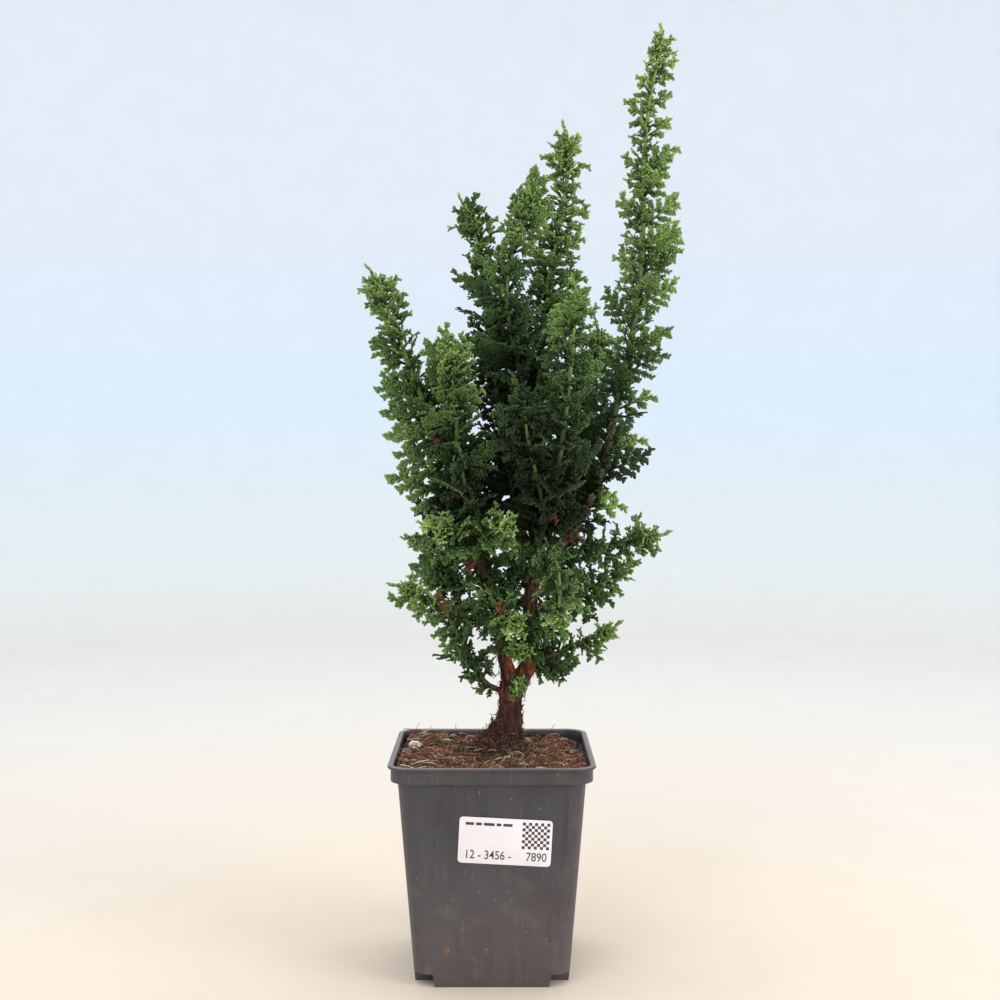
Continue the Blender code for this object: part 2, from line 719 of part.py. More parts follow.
def make_foliage(solids):
    """Every leafy stem with its sprays, in one union for each."""
    stems = grow_stems(solids[0])
    for index, row in enumerate(LEAFY_STEMS):
        name = row[0]
        stem = stems[name]
        draw = random.Random(SEED + index)
        others = list(solids) + stem["sprays"]
        for key, other in stems.items():
            if key != name:
                others += [other["tree"]] + other["sprays"]
        sprays = []
        for i, place in enumerate(spray_places(row, stem["line"], draw)):
            plate = grown_spray(stem["line"], place, draw, others)
            if plate is None:
                continue
            tree = tree_of(plate)
            others.append(tree)
            stem["sprays"].append(tree)
            sprays.append(object_from(f"{name}_spray_{i}", plate, "foliage"))
        leafy = object_from(name, stem["mesh"], "foliage")
        combine(leafy, sprays, "UNION")
        tidy_mesh(leafy)


def main():
    """Build the potted tree."""
    clear_scene()
    pot = make_pot()
    make_label()
    soil = make_soil()
    trunk = make_trunk()
    soil_tree = tree_of_object(soil)
    for row in PEBBLES:
        make_pebble(*row, soil_tree)
    make_foliage([tree_of_object(trunk), tree_of_object(pot), soil_tree])


main()
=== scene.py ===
"""Finish of a hinoki cypress bonsai in its square nursery pot, laid out as a Blender add-on.

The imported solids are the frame. Every leafy stem grows here a second time by the same rule as
in the solids, with the same seeds, so each fine spray stands where its flat fan stands. The
pot, soil, stones, label and trunk are modelled again with their rounded edges, crumbs and bark.
"""

import math
import random

import bmesh
import bpy
from bpy.props import FloatProperty, FloatVectorProperty, IntProperty, PointerProperty
from mathutils import Matrix, Vector, noise
from mathutils.bvhtree import BVHTree


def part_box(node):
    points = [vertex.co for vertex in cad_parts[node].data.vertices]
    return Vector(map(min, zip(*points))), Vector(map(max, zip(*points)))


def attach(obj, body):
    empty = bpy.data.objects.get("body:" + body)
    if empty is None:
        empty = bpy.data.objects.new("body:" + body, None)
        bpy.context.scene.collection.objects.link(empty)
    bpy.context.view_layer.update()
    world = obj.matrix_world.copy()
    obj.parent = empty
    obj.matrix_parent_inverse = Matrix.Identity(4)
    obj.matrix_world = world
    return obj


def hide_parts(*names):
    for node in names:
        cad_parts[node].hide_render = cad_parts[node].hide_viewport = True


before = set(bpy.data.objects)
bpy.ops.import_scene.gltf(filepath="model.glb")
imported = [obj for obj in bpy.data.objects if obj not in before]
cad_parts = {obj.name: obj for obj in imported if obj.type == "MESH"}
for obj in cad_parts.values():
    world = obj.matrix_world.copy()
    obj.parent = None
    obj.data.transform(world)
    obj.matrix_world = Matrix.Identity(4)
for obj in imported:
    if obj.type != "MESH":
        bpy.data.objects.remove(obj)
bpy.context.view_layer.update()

bl_info = {
    "name": "Hinoki Cypress Bonsai",
    "version": (1, 0, 0),
    "blender": (4, 5, 0),
    "location": "View3D > Sidebar > Bonsai",
    "description": "Builds the finished look of a potted hinoki cypress bonsai",
    "category": "Add Mesh",
}

MM = 0.001
GAP = 0.3 * MM
SEED = 11

# The pot, as the solids have it
POT_HEIGHT = 120 * MM
LIP_HALF = 55 * MM
COLLAR_HALF = 53.5 * MM
COLLAR_HEIGHT = 9 * MM
BODY_TOP_HALF = 50 * MM
BASE_HALF = 41.3 * MM
WALL = 1.5 * MM
FLOOR = 2 * MM
TOP_CORNER = 10 * MM
BASE_CORNER = 9 * MM
CORNER_STEPS = 14
FOOT_HALF = 29.5 * MM
FOOT_SLANT = 2 * MM
NOTCH_HEIGHT = 7 * MM
DRAIN_RADIUS = 2.8 * MM
DRAIN_OFFSET = 35.5 * MM

# The label, with plain numbers and ruled marks on it
LABEL_SIZE = (49 * MM, 25 * MM)
LABEL_CENTRE = (7 * MM, 80 * MM)
LABEL_TILT = math.radians(3)

# The trunk's centre lines in mm as (x, y, z, radius)
FOOT_PLACE = (8 * MM, 0.0)
FOOT_RADIUS = 13.8 * MM
TRUNK_LINE = (
    (8, 0, 103, 13.6), (8, 0, 109, 13.8), (8, 0, 115, 13.8), (8, 0, 118, 11.6), (9, 0, 122, 8.8),
    (9, 0, 127, 7.2), (10, 0, 133, 6.5), (10, 0, 140, 6.3), (10, 0, 147, 6.3), (11, 0, 153, 6.8),
    (12, 0, 158, 6.4), (12, 0, 161, 4.2),
)
LEFT_LIMB = (
    (11, 0, 154, 4.6), (8, -2, 166, 3.9), (5, -3, 180, 3.4), (2, -4, 197, 3.3), (-4, -6, 214, 3.2),
    (-10, -8, 229, 2.6),
)
RIGHT_LIMB = (
    (13, 0, 153, 5.0), (20, 1, 166, 4.6), (22, 2, 180, 4.3), (21, 2, 198, 4.1), (23, 3, 216, 3.8),
    (25, 4, 234, 3.0),
)
STUB = ((6, -2, 172, 1.6), (2, -4, 175, 1.6), (-2, -5, 176, 1.2))

# Leafy stems: name, radius at the foot in mm, sprays, their length in mm at foot and tip, the
# bare share of the stem, and the route in mm. The first point lies inside what carries it.
LEAFY_STEMS = (
    ("far_left_leader", 2.4, 13, 27, 15, 0.10,
     ((-10, -8, 227), (-19, -12, 261), (-27, -14, 289), (-40, -14, 318), (-49, -12, 342),
      (-59, -9, 367), (-64, -7, 384))),
    ("left_leader", 2.2, 10, 27, 19, 0.18,
     ((-5, -6, 216), (-13, -18, 250), (-18, -27, 290), (-21, -30, 318), (-21, -31, 334),
      (-12, -33, 346))),
    ("inner_left_leader", 2.2, 12, 28, 14, 0.20,
     ((23, 3, 218), (13, 9, 257), (3, 12, 313), (-2, 12, 364), (-6, 10, 394), (-11, 8, 408),
      (-14, 6, 425))),
    ("main_leader", 2.5, 14, 28, 14, 0.15,
     ((25, 4, 230), (25, 6, 285), (27, 6, 335), (31, 5, 377), (36, 4, 405), (41, 2, 435),
      (41, 0, 464))),
    ("main_side_leader", 1.7, 8, 26, 15, 0.15,
     ((25, 6, 290), (15, -1, 329), (8, -7, 365), (11, -9, 392), (19, -9, 410), (26, -8, 432))),
    ("front_leader", 2.1, 10, 27, 17, 0.15,
     ((24, 3, 226), (34, -22, 268), (40, -32, 312), (43, -34, 344), (45, -34, 375))),
    ("front_short_leader", 1.7, 6, 27, 19, 0.18,
     ((23, 3, 221), (28, -18, 250), (22, -30, 278), (17, -37, 305), (18, -38, 326))),
    ("tall_right_leader", 2.6, 20, 28, 12, 0.10,
     ((23, 3, 216), (46, 6, 242), (61, 8, 274), (71, 8, 319), (79, 6, 357), (83, 4, 396),
      (83, 2, 434), (86, 0, 474), (91, -1, 500), (94, -2, 516))),
    ("right_branch", 1.7, 6, 22, 14, 0.25,
     ((22, 3, 210), (42, 10, 226), (63, 14, 232), (82, 13, 233), (95, 11, 243))),
    ("right_middle_branch", 1.5, 4, 20, 14, 0.25,
     ((21, 2, 196), (40, 12, 200), (60, 17, 209), (82, 18, 220))),
    ("right_low_branch", 1.5, 5, 17, 12, 0.28,
     ((21, 1, 167), (33, -2, 172), (45, -5, 177), (57, -7, 183), (72, -8, 187))),
    ("back_low_spray", 1.3, 3, 16, 14, 0.30,
     ((20, 2, 164), (30, 14, 164), (39, 24, 161), (46, 30, 158))),
    ("left_low_branch", 1.6, 7, 18, 13, 0.30,
     ((10, 0, 150), (-3, -3, 156), (-10, -7, 168), (-18, -11, 183), (-27, -14, 199),
      (-38, -16, 209), (-55, -18, 207))),
    ("front_spray", 1.4, 5, 21, 17, 0.25,
     ((3, -4, 190), (3, -18, 199), (8, -29, 195), (16, -37, 184))),
    ("front_low_spray", 1.2, 3, 16, 14, 0.35,
     ((7, -2, 170), (11, -14, 176), (17, -25, 172))),
    ("trunk_sprig", 1.0, 2, 11, 10, 0.40,
     ((11, 0, 150), (12, -10, 152), (14, -18, 157))),
    ("hanging_spray", 1.6, 6, 22, 17, 0.25,
     ((23, 3, 213), (28, -16, 229), (34, -30, 226), (36, -38, 208), (33, -38, 186))),
    ("left_shelf_spray", 1.4, 5, 22, 17, 0.25,
     ((-7, -7, 222), (-16, -24, 236), (-26, -35, 243), (-39, -40, 244))),
    ("front_shelf_spray", 1.4, 4, 22, 17, 0.25,
     ((-9, -8, 226), (-4, -25, 238), (4, -38, 244), (14, -45, 246))),
    ("left_back_spray", 1.4, 4, 21, 16, 0.25,
     ((-6, -6, 219), (-21, 3, 226), (-34, 8, 232), (-47, 11, 238))),
    ("left_middle_spray", 1.4, 4, 20, 16, 0.25,
     ((-2, -5, 207), (-17, 4, 211), (-30, 10, 214), (-43, 12, 218))),
    ("left_inner_spray", 1.3, 3, 18, 15, 0.30,
     ((3, -4, 193), (-8, 8, 196), (-18, 16, 197), (-27, 20, 192))),
    ("back_leader", 2.0, 9, 29, 18, 0.20,
     ((23, 3, 222), (22, 26, 262), (17, 42, 314), (14, 45, 349), (12, 43, 380))),
    ("back_right_leader", 1.8, 8, 28, 18, 0.20,
     ((24, 3, 224), (42, 26, 258), (54, 39, 303), (60, 42, 335), (63, 40, 360))),
    ("back_left_leader", 1.8, 8, 28, 18, 0.20,
     ((0, -4, 201), (-6, 20, 245), (-16, 34, 285), (-24, 37, 314), (-27, 35, 336))),
)

# How fresh the growth of a stem is, from 0, dark and old, to 1, yellow-green; below 0 is painted
# shade
FRESHNESS_AND_SHADE = {
    "tall_right_leader": 0.58, "left_shelf_spray": 0.26, "front_shelf_spray": 0.24,
    "front_spray": 0.38, "left_leader": 0.24, "hanging_spray": 0.28, "left_low_branch": 0.32,
    "right_low_branch": 0.30, "front_leader": 0.12, "main_leader": 0.50,
    "main_side_leader": 0.32, "far_left_leader": 0.34, "right_branch": 0.20,
    "front_short_leader": -0.6, "inner_left_leader": 0.12, "back_leader": -0.3,
}
USUAL_FRESHNESS = 0.18

# Stems whose stem shows between their sprays: how much sparser and shorter the filling is
SLENDER = {
    "tall_right_leader": (1.15, 0.75), "left_low_branch": (0.85, 0.72),
    "right_branch": (0.9, 0.78), "far_left_leader": (0.9, 0.85), "right_low_branch": (0.9, 0.8),
}

# Ends of the sprays that carry the tree's outline, as (x, z) in mm beside their stem
OUTER_TIPS = {
    "far_left_leader": ((-57, 273), (-53, 284), (-58, 297), (-60, 326), (-64, 319), (-60, 308),
                        (-67, 344), (-69, 380), (-60, 381), (-70, 372), (-58, 370)),
    "left_leader": ((-12, 346), (-34, 345), (-26, 347)),
    "inner_left_leader": ((-12, 427), (-21, 420), (-17, 349)),
    "main_side_leader": ((15, 424), (8, 413), (27, 438), (22, 433)),
    "main_leader": ((52, 403), (56, 372), (52, 384), (35, 450), (47, 437), (45, 448),
                    (36, 460), (46, 459), (36, 452)),
    "tall_right_leader": ((72, 447), (99, 466), (101, 453), (104, 425), (103, 411), (105, 405),
                          (103, 379), (97, 353), (90, 318), (85, 293), (69, 261), (74, 256),
                          (64, 262), (98, 440), (72, 404), (68, 394), (71, 383), (98, 481),
                          (98, 491), (90, 513), (98, 511), (90, 504)),
    "right_branch": ((95, 229), (94, 241), (81, 219)),
    "left_middle_spray": ((-45, 223),),
    "left_low_branch": ((-34, 186), (-29, 178), (-38, 193), (-57, 204)),
}

# Small sprays straight from the limbs, from a foot to a tip in mm
LIMB_TWIGS = (
    ((2, -2, 200), (13, 3, 217)), ((21, 3, 212), (8, 5, 219)), ((20, 3, 223), (9, 8, 206)),
    ((-1, -4, 211), (13, 2, 205)), ((21, 3, 203), (11, 10, 197)), ((0, -4, 208), (10, 9, 211)),
    ((24, 2, 198), (32, -4, 179)), ((24, 1, 190), (36, 6, 183)), ((24, 2, 205), (35, 8, 192)),
    ((3, -4, 193), (-6, -8, 182)), ((5, -3, 182), (-4, 2, 190)), ((23, 1, 170), (41, 10, 162)),
    ((22, 1, 168), (36, 14, 158)), ((22, 2, 176), (33, 12, 176)), ((3, -4, 195), (9, -13, 201)),
    ((-3, -3, 156), (-14, -7, 161)), ((-5, -4, 159), (-1, -8, 172)),
    ((-9, -6, 166), (-3, -9, 177)), ((-7, -5, 162), (-17, -9, 170)), ((0, -2, 155), (-9, -7, 152)),
    ((-11, -8, 170), (-20, -9, 174)), ((-8, -6, 222), (-14, -16, 209)),
    ((-5, -6, 214), (3, -16, 204)), ((-3, -6, 206), (-4, -15, 198)), ((0, -6, 198), (6, -14, 188)),
    ((-4, -5, 210), (-15, -12, 215)), ((20, -5, 197), (14, -14, 184)),
    ((-7, -3, 226), (3, 4, 224)), ((21, 1, 226), (12, 5, 221)), ((-5, -3, 217), (4, 5, 215)),
    ((24, 3, 229), (13, 9, 233)), ((36, 7, 221), (49, 3, 217)), ((40, 9, 223), (52, 6, 212)),
    ((24, 3, 229), (11, 6, 243)), ((-8, -7, 229), (1, 0, 237)), ((21, -5, 190), (25, -15, 178)),
    ((18, -5, 183), (10, -13, 175)), ((19, -5, 178), (27, -12, 168)), ((-4, -4, 216), (8, 2, 225)),
    ((22, 2, 218), (5, 6, 226)),
)

# Dead brown sprays at the front, as (x, z) in mm
DEAD_TIPS = ((43, 245), (36, 249), (46, 239), (2, 203), (-7, 216), (-11, 221), (-23, 200),
             (-29, 288), (-51, 287), (-22, 260))

# Patches of moss on the soil: x, y and spread in mm, how many blades, and how pale
MOSS_PATCHES = (
    (-8, -4, 4.0, 820, 0.0), (0, -17, 3.0, 520, 0.0), (13, -19, 2.2, 190, 0.45),
    (-19, 6, 4.0, 160, 0.3), (-40, -22, 3.0, 120, 0.2), (34, -12, 3.0, 100, 0.35),
    (-30, 30, 3.0, 110, 0.3), (-42, 8, 2.5, 90, 0.1), (24, 28, 2.5, 70, 0.4),
)

# The growth rule, as the solids have it
SPRAY_THICK = 1.1 * MM
HALF_RIB = 1.0 * MM
SINK = 0.6 * MM
SPRAY_LEAN = math.radians(46)
STEM_SIDES = 5
STEM_STEP = 20 * MM
LINE_STEP = 1.5 * MM
FINE_STEPS = 16
STEM_TIP = 1.0 * MM
LIMB_REACH = 7 * MM
QUARTER_TURNS = (5, 275, 185, 95)
SPRAY_ROLLS = ((50, 85), (15, 50))
LARGE_SPRAY = 18 * MM
FAN_HUB = 0.26
FAN_SPREAD = math.radians(84)
RETRY_TURNS = (0, 28, -28, 56, -56, 90, -90)

# Fine sprays: the pitch of the scale leaves, the shoots' size and the lengths of the patterns
SHOOT_WIDTH = 1.68 * MM
SHOOT_THICK = 1.2 * MM
BRANCHLET_STEP = 2.6 * MM
FINGER_STEP = 1.75 * MM
PATTERN_LENGTHS = (9 * MM, 12 * MM, 16 * MM, 20 * MM, 27 * MM)
PATTERN_KINDS = 3
GOLDEN_TURN = math.radians(137.5)

# The camera stands where the photograph was taken
CAMERA_PLACE = (4.3 * MM, -811 * MM, 287.2 * MM)
CAMERA_PITCH = math.radians(2.08)
CAMERA_LENS = 52.81


def linear_colour(code):
    """Linear RGBA of an sRGB hex code."""
    channels = []
    for i in (0, 2, 4):
        value = int(code[i:i + 2], 16) / 255
        channels.append(value / 12.92 if value <= 0.04045 else ((value + 0.055) / 1.055) ** 2.4)
    return (*channels, 1.0)


class PotSettings(bpy.types.PropertyGroup):
    """What can be changed on the pot."""

    plastic: FloatVectorProperty(
        name="Plastic", description="Colour of the moulded pot", subtype="COLOR",
        size=3, min=0.0, max=1.0, default=linear_colour("3e3d42")[:3])
    stain: FloatProperty(
        name="Stain", description="How much rusty soil stains the walls", subtype="FACTOR",
        min=0.0, max=1.0, default=0.5)


class SoilSettings(bpy.types.PropertyGroup):
    """What can be changed on the soil."""

    crumbs: IntProperty(
        name="Crumbs", description="Loose crumbs of peat on the soil", min=0, default=1100)
    fibres: IntProperty(
        name="Fibres", description="Loose coir fibres on the soil", min=0, default=1750)
    roughness: FloatProperty(
        name="Bumps", description="Height of the soil's small bumps", unit="LENGTH",
        min=0.0, default=2.1 * MM)


class TreeSettings(bpy.types.PropertyGroup):
    """What can be changed on the tree."""

    # The old leaf colour is near black: partly the old scales' own, partly painted shade
    old_leaf_and_shade: FloatVectorProperty(
        name="Old leaf", description="Colour of the inner scale leaves", subtype="COLOR",
        size=3, min=0.0, max=1.0, default=linear_colour("182610")[:3])
    grown_leaf: FloatVectorProperty(
        name="Grown leaf", description="Colour of the outer scale leaves", subtype="COLOR",
        size=3, min=0.0, max=1.0, default=linear_colour("4d6c38")[:3])
    young_leaf: FloatVectorProperty(
        name="Young leaf", description="Colour of the fresh tips", subtype="COLOR",
        size=3, min=0.0, max=1.0, default=linear_colour("9eba62")[:3])
    filling: FloatProperty(
        name="Filling step", description="Stem length between the small filling sprays",
        unit="LENGTH", min=2 * MM, default=2.55 * MM)
    bark_ridge: FloatProperty(
        name="Bark ridge", description="Height of the bark's fibrous ridges", unit="LENGTH",
        min=0.0, default=0.8 * MM)


class StageSettings(bpy.types.PropertyGroup):
    """What can be changed on the lights."""

    key_power: FloatProperty(
        name="Key light", description="Power of the large front light", unit="POWER",
        min=0.0, default=11.8)
    fill_power: FloatProperty(
        name="Fill light", description="Power of the light from the right", unit="POWER",
        min=0.0, default=12.5)


def feed(tree, node, inputs):
    """Set or link a node's inputs, given by name or place."""
    pairs = inputs.items() if isinstance(inputs, dict) else enumerate(inputs)
    for key, value in pairs:
        if isinstance(value, bpy.types.NodeSocket):
            tree.links.new(value, node.inputs[key])
        else:
            node.inputs[key].default_value = value


def add_node(tree, kind, inputs=(), output=0, stops=(), **settings):
    """Add a shader node with its settings, ramp stops and inputs, and return one output."""
    made = tree.nodes.new("ShaderNode" + kind)
    for key, value in settings.items():
        setattr(made, key, value)
    if stops:
        elements = made.color_ramp.elements
        while len(elements) < len(stops):
            elements.new(0.5)
        for element, (position, code) in zip(elements, stops):
            element.position = position
            element.color = linear_colour(code)
    feed(tree, made, inputs)
    return made.outputs[output]


def new_material(name):
    """Material whose tree has the Principled shader, and its object coordinates."""
    made = bpy.data.materials.new(name)
    made.use_nodes = True
    tree = made.node_tree
    shader = next(node for node in tree.nodes if node.type == "BSDF_PRINCIPLED")
    return made, tree, shader, add_node(tree, "TexCoord", output="Object")


def pot_plastic():
    """Recycled polypropylene, injection moulded."""
    settings = bpy.context.scene.bonsai_pot
    made, tree, shader, place = new_material("Moulded recycled polypropylene")
    rgb = {"data_type": "RGBA", "output": 2}
    # Recycled resin is never even: clouds about 30 mm wide, a little lighter and darker
    cloud = add_node(tree, "TexNoise", {"Vector": place, "Scale": 1 / (30 * MM), "Detail": 3.0})
    dark = (*[channel * 0.80 for channel in settings.plastic], 1.0)
    light = (*[channel * 1.22 for channel in settings.plastic], 1.0)
    share = add_node(tree, "MapRange", (cloud, 0.3, 0.7))
    base = add_node(tree, "Mix", {0: share, 6: dark, 7: light}, **rgb)
    # Water has run down the walls: dark runs about 4 mm wide and fine pale scratches
    upright = add_node(tree, "Mapping", {"Vector": place, "Scale": (1.0, 1.0, 0.06)})
    run = add_node(tree, "TexNoise", {"Vector": upright, "Scale": 1 / (4 * MM), "Detail": 4.0})
    run = add_node(tree, "MapRange", (run, 0.56, 0.70, 0.0, 0.5))
    base = add_node(tree, "Mix", {0: run, 6: base, 7: linear_colour("2b2a2d")}, **rgb)
    scratch = add_node(tree, "TexNoise", {"Vector": upright, "Scale": 1 / (1.2 * MM)})
    scratch = add_node(tree, "MapRange", (scratch, 0.62, 0.75, 0.0, 0.22))
    base = add_node(tree, "Mix", {0: scratch, 6: base, 7: linear_colour("7b7779")}, **rgb)
    # Peat dries on as brown blotches, most of it low down, with a few rusty ones
    height = add_node(tree, "SeparateXYZ", (place,), output="Z")
    low = add_node(tree, "MapRange", (height, 14 * MM, 75 * MM, 1.0, 0.25))
    blotch = add_node(tree, "TexNoise", {"Vector": place, "Scale": 1 / (10 * MM), "Detail": 9.0})
    stain = add_node(tree, "MapRange", (blotch, 0.54, 0.72, 0.0, settings.stain))
    stain = add_node(tree, "Math", (stain, low), operation="MULTIPLY")
    base = add_node(tree, "Mix", {0: stain, 6: base, 7: linear_colour("75604f")}, **rgb)
    rust = add_node(tree, "TexNoise", {"Vector": place, "Scale": 1 / (8 * MM), "Detail": 6.0})
    rust = add_node(tree, "MapRange", (rust, 0.66, 0.73, 0.0, 1.4 * settings.stain))
    rust = add_node(tree, "Math", (rust, low), operation="MULTIPLY")
    base = add_node(tree, "Mix", {0: rust, 6: base, 7: linear_colour("80522e")}, **rgb)
    # Painted reflection of the warm floor: lighter, warmer colour low on the wall
    painted_floor_reflection = add_node(tree, "MapRange", (height, 4 * MM, 80 * MM, 0.30, 0.0))
    base = add_node(tree, "Mix", {0: painted_floor_reflection, 6: base, 7: linear_colour("6e5f57")}, **rgb)
    # Painted shade blackens the inside of the wall; a painted highlight pales the lip's top
    facing = add_node(tree, "TexCoord", output="Normal")
    outward = add_node(tree, "VectorMath", (place, facing), "Value", operation="DOT_PRODUCT")
    wall = add_node(tree, "MapRange", (outward, -9 * MM, -7 * MM, 1.0, 0.0))
    upward = add_node(tree, "SeparateXYZ", (facing,), output="Z")
    ledge = add_node(tree, "MapRange", (upward, 0.3, 0.5))
    below = add_node(tree, "MapRange", (height, 116.5 * MM, 118.5 * MM, 1.0, 0.0))
    painted_inner_shade = add_node(tree, "Math", (wall, ledge), operation="MAXIMUM")
    painted_inner_shade = add_node(tree, "Math", (painted_inner_shade, below), operation="MULTIPLY")
    base = add_node(tree, "Mix", {0: painted_inner_shade, 6: base, 7: linear_colour("1d1815")}, **rgb)
    # Painted highlight: the lip's upward top is mixed towards a pale grey
    rim = add_node(tree, "Math", (ledge, below), operation="SUBTRACT")
    rim = add_node(tree, "MapRange", (rim, 0.2, 1.0, 0.0, 0.55))
    base = add_node(tree, "Mix", {0: rim, 6: base, 7: linear_colour("9a8f88")}, **rgb)
    # Dust flecks a quarter of a millimetre across, drawn a little larger so that they show
    dust = add_node(tree, "TexVoronoi", {"Vector": place, "Scale": 1 / (6.5 * MM)})
    fleck = add_node(tree, "MapRange", (dust, 0.04, 0.06, 0.5, 0.0))
    base = add_node(tree, "Mix", {0: fleck, 6: base, 7: linear_colour("b9b4ae")}, **rgb)
    grain = add_node(tree, "TexNoise", {"Vector": place, "Scale": 1 / (0.9 * MM)})
    feed(tree, shader, {
        "Base Color": base,
        "Roughness": add_node(tree, "MapRange", (cloud, 0.3, 0.7, 0.40, 0.56)),
        "IOR": 1.49,
        "Normal": add_node(tree, "Bump", {"Height": grain, "Distance": 0.02 * MM}),
    })
    return made


def label_paper():
    """Coated self-adhesive paper, calendered."""
    made, tree, shader, place = new_material("Coated white label paper")
    # Smooth cool white that has picked up faint soil where fingers and water touched it
    soil = add_node(tree, "TexNoise", {"Vector": place, "Scale": 1 / (9 * MM), "Detail": 5.0})
    soil = add_node(tree, "MapRange", (soil, 0.5, 0.8, 0.0, 0.25))
    base = add_node(tree, "Mix", {0: soil, 6: linear_colour("ebe4e7"), 7: linear_colour("d8cdcb")},
                    2, data_type="RGBA")
    fibre = add_node(tree, "TexNoise", {"Vector": place, "Scale": 1 / (0.6 * MM)})
    bump = add_node(tree, "Bump", {"Height": fibre, "Distance": 0.01 * MM})
    feed(tree, shader, {"Base Color": base, "Roughness": 0.42, "Normal": bump})
    return made


def label_ink():
    """Thermal transfer print."""
    made, tree, shader, place = new_material("Thermal print black")
    # Soft black that is greyer where the head has worn, in grains under a millimetre
    grain = add_node(tree, "TexNoise", {"Vector": place, "Scale": 1 / (0.8 * MM), "Detail": 4.0})
    grain = add_node(tree, "MapRange", (grain, 0.35, 0.75))
    base = add_node(tree, "Mix", {0: grain, 6: linear_colour("262224"), 7: linear_colour("4b4648")},
                    2, data_type="RGBA")
    feed(tree, shader, {"Base Color": base, "Roughness": 0.5})
    return made


def peat():
    """Peat and coir, sieved and moist."""
    made, tree, shader, place = new_material("Moist peat and coir")
    # Grains of about 2 mm, red-brown with dark pits, and greenish where algae grow
    # The pits are dark partly as wet peat and partly as painted shade
    grain = add_node(tree, "TexNoise", {"Vector": place, "Scale": 1 / (2.2 * MM), "Detail": 6.0})
    base = add_node(tree, "ValToRGB", (grain,), stops=(
        (0.30, "1b100b"), (0.46, "492d22"), (0.58, "7a4f3c"), (0.72, "a97f63")))
    algae = add_node(tree, "TexNoise", {"Vector": place, "Scale": 1 / (14 * MM), "Detail": 3.0})
    algae = add_node(tree, "MapRange", (algae, 0.55, 0.65, 0.0, 0.45))
    base = add_node(tree, "Mix", {0: algae, 6: base, 7: linear_colour("3c3a22")}, 2,
                    data_type="RGBA")
    bump = add_node(tree, "Bump", {"Height": grain, "Distance": 0.9 * MM})
    feed(tree, shader, {"Base Color": base, "Roughness": 0.92, "Normal": bump})
    return made


def loose_peat():
    """Crumbs, chips and coir fibres, dried on top."""
    made, tree, shader, place = new_material("Loose peat crumbs and fibres")
    # Each bit has its own tone, from wet black-brown to dry straw, with a mottled skin
    tone = add_node(tree, "Attribute", output="Fac", attribute_name="tone")
    base = add_node(tree, "ValToRGB", (tone,), stops=(
        (0.0, "2a1811"), (0.3, "664030"), (0.55, "9c664e"), (0.72, "c29470"),
        (0.84, "cfac86"), (1.0, "efe8dd")))
    grain = add_node(tree, "TexNoise", {"Vector": place, "Scale": 1 / (0.9 * MM), "Detail": 4.0})
    shade = add_node(tree, "MapRange", (grain, 0.3, 0.7, 0.62, 1.12))
    base = add_node(tree, "Mix", {0: 1.0, 6: base, 7: shade}, 2, data_type="RGBA",
                    blend_type="MULTIPLY")
    bump = add_node(tree, "Bump", {"Height": grain, "Distance": 0.25 * MM})
    feed(tree, shader, {"Base Color": base, "Roughness": 0.85, "Normal": bump})
    return made


def grit(name, light, dark):
    """Porous grit, crushed and tumbled."""
    made, tree, shader, place = new_material(name)
    # Pits of about 1.6 mm that hold dark soil in a pale chalky skin
    pits = add_node(tree, "TexNoise", {"Vector": place, "Scale": 1 / (1.6 * MM), "Detail": 6.0})
    skin = add_node(tree, "MapRange", (pits, 0.35, 0.6))
    base = add_node(tree, "Mix", {0: skin, 6: linear_colour(dark), 7: linear_colour(light)}, 2,
                    data_type="RGBA")
    bump = add_node(tree, "Bump", {"Height": pits, "Distance": 0.5 * MM})
    feed(tree, shader, {"Base Color": base, "Roughness": 0.8, "Normal": bump})
    return made


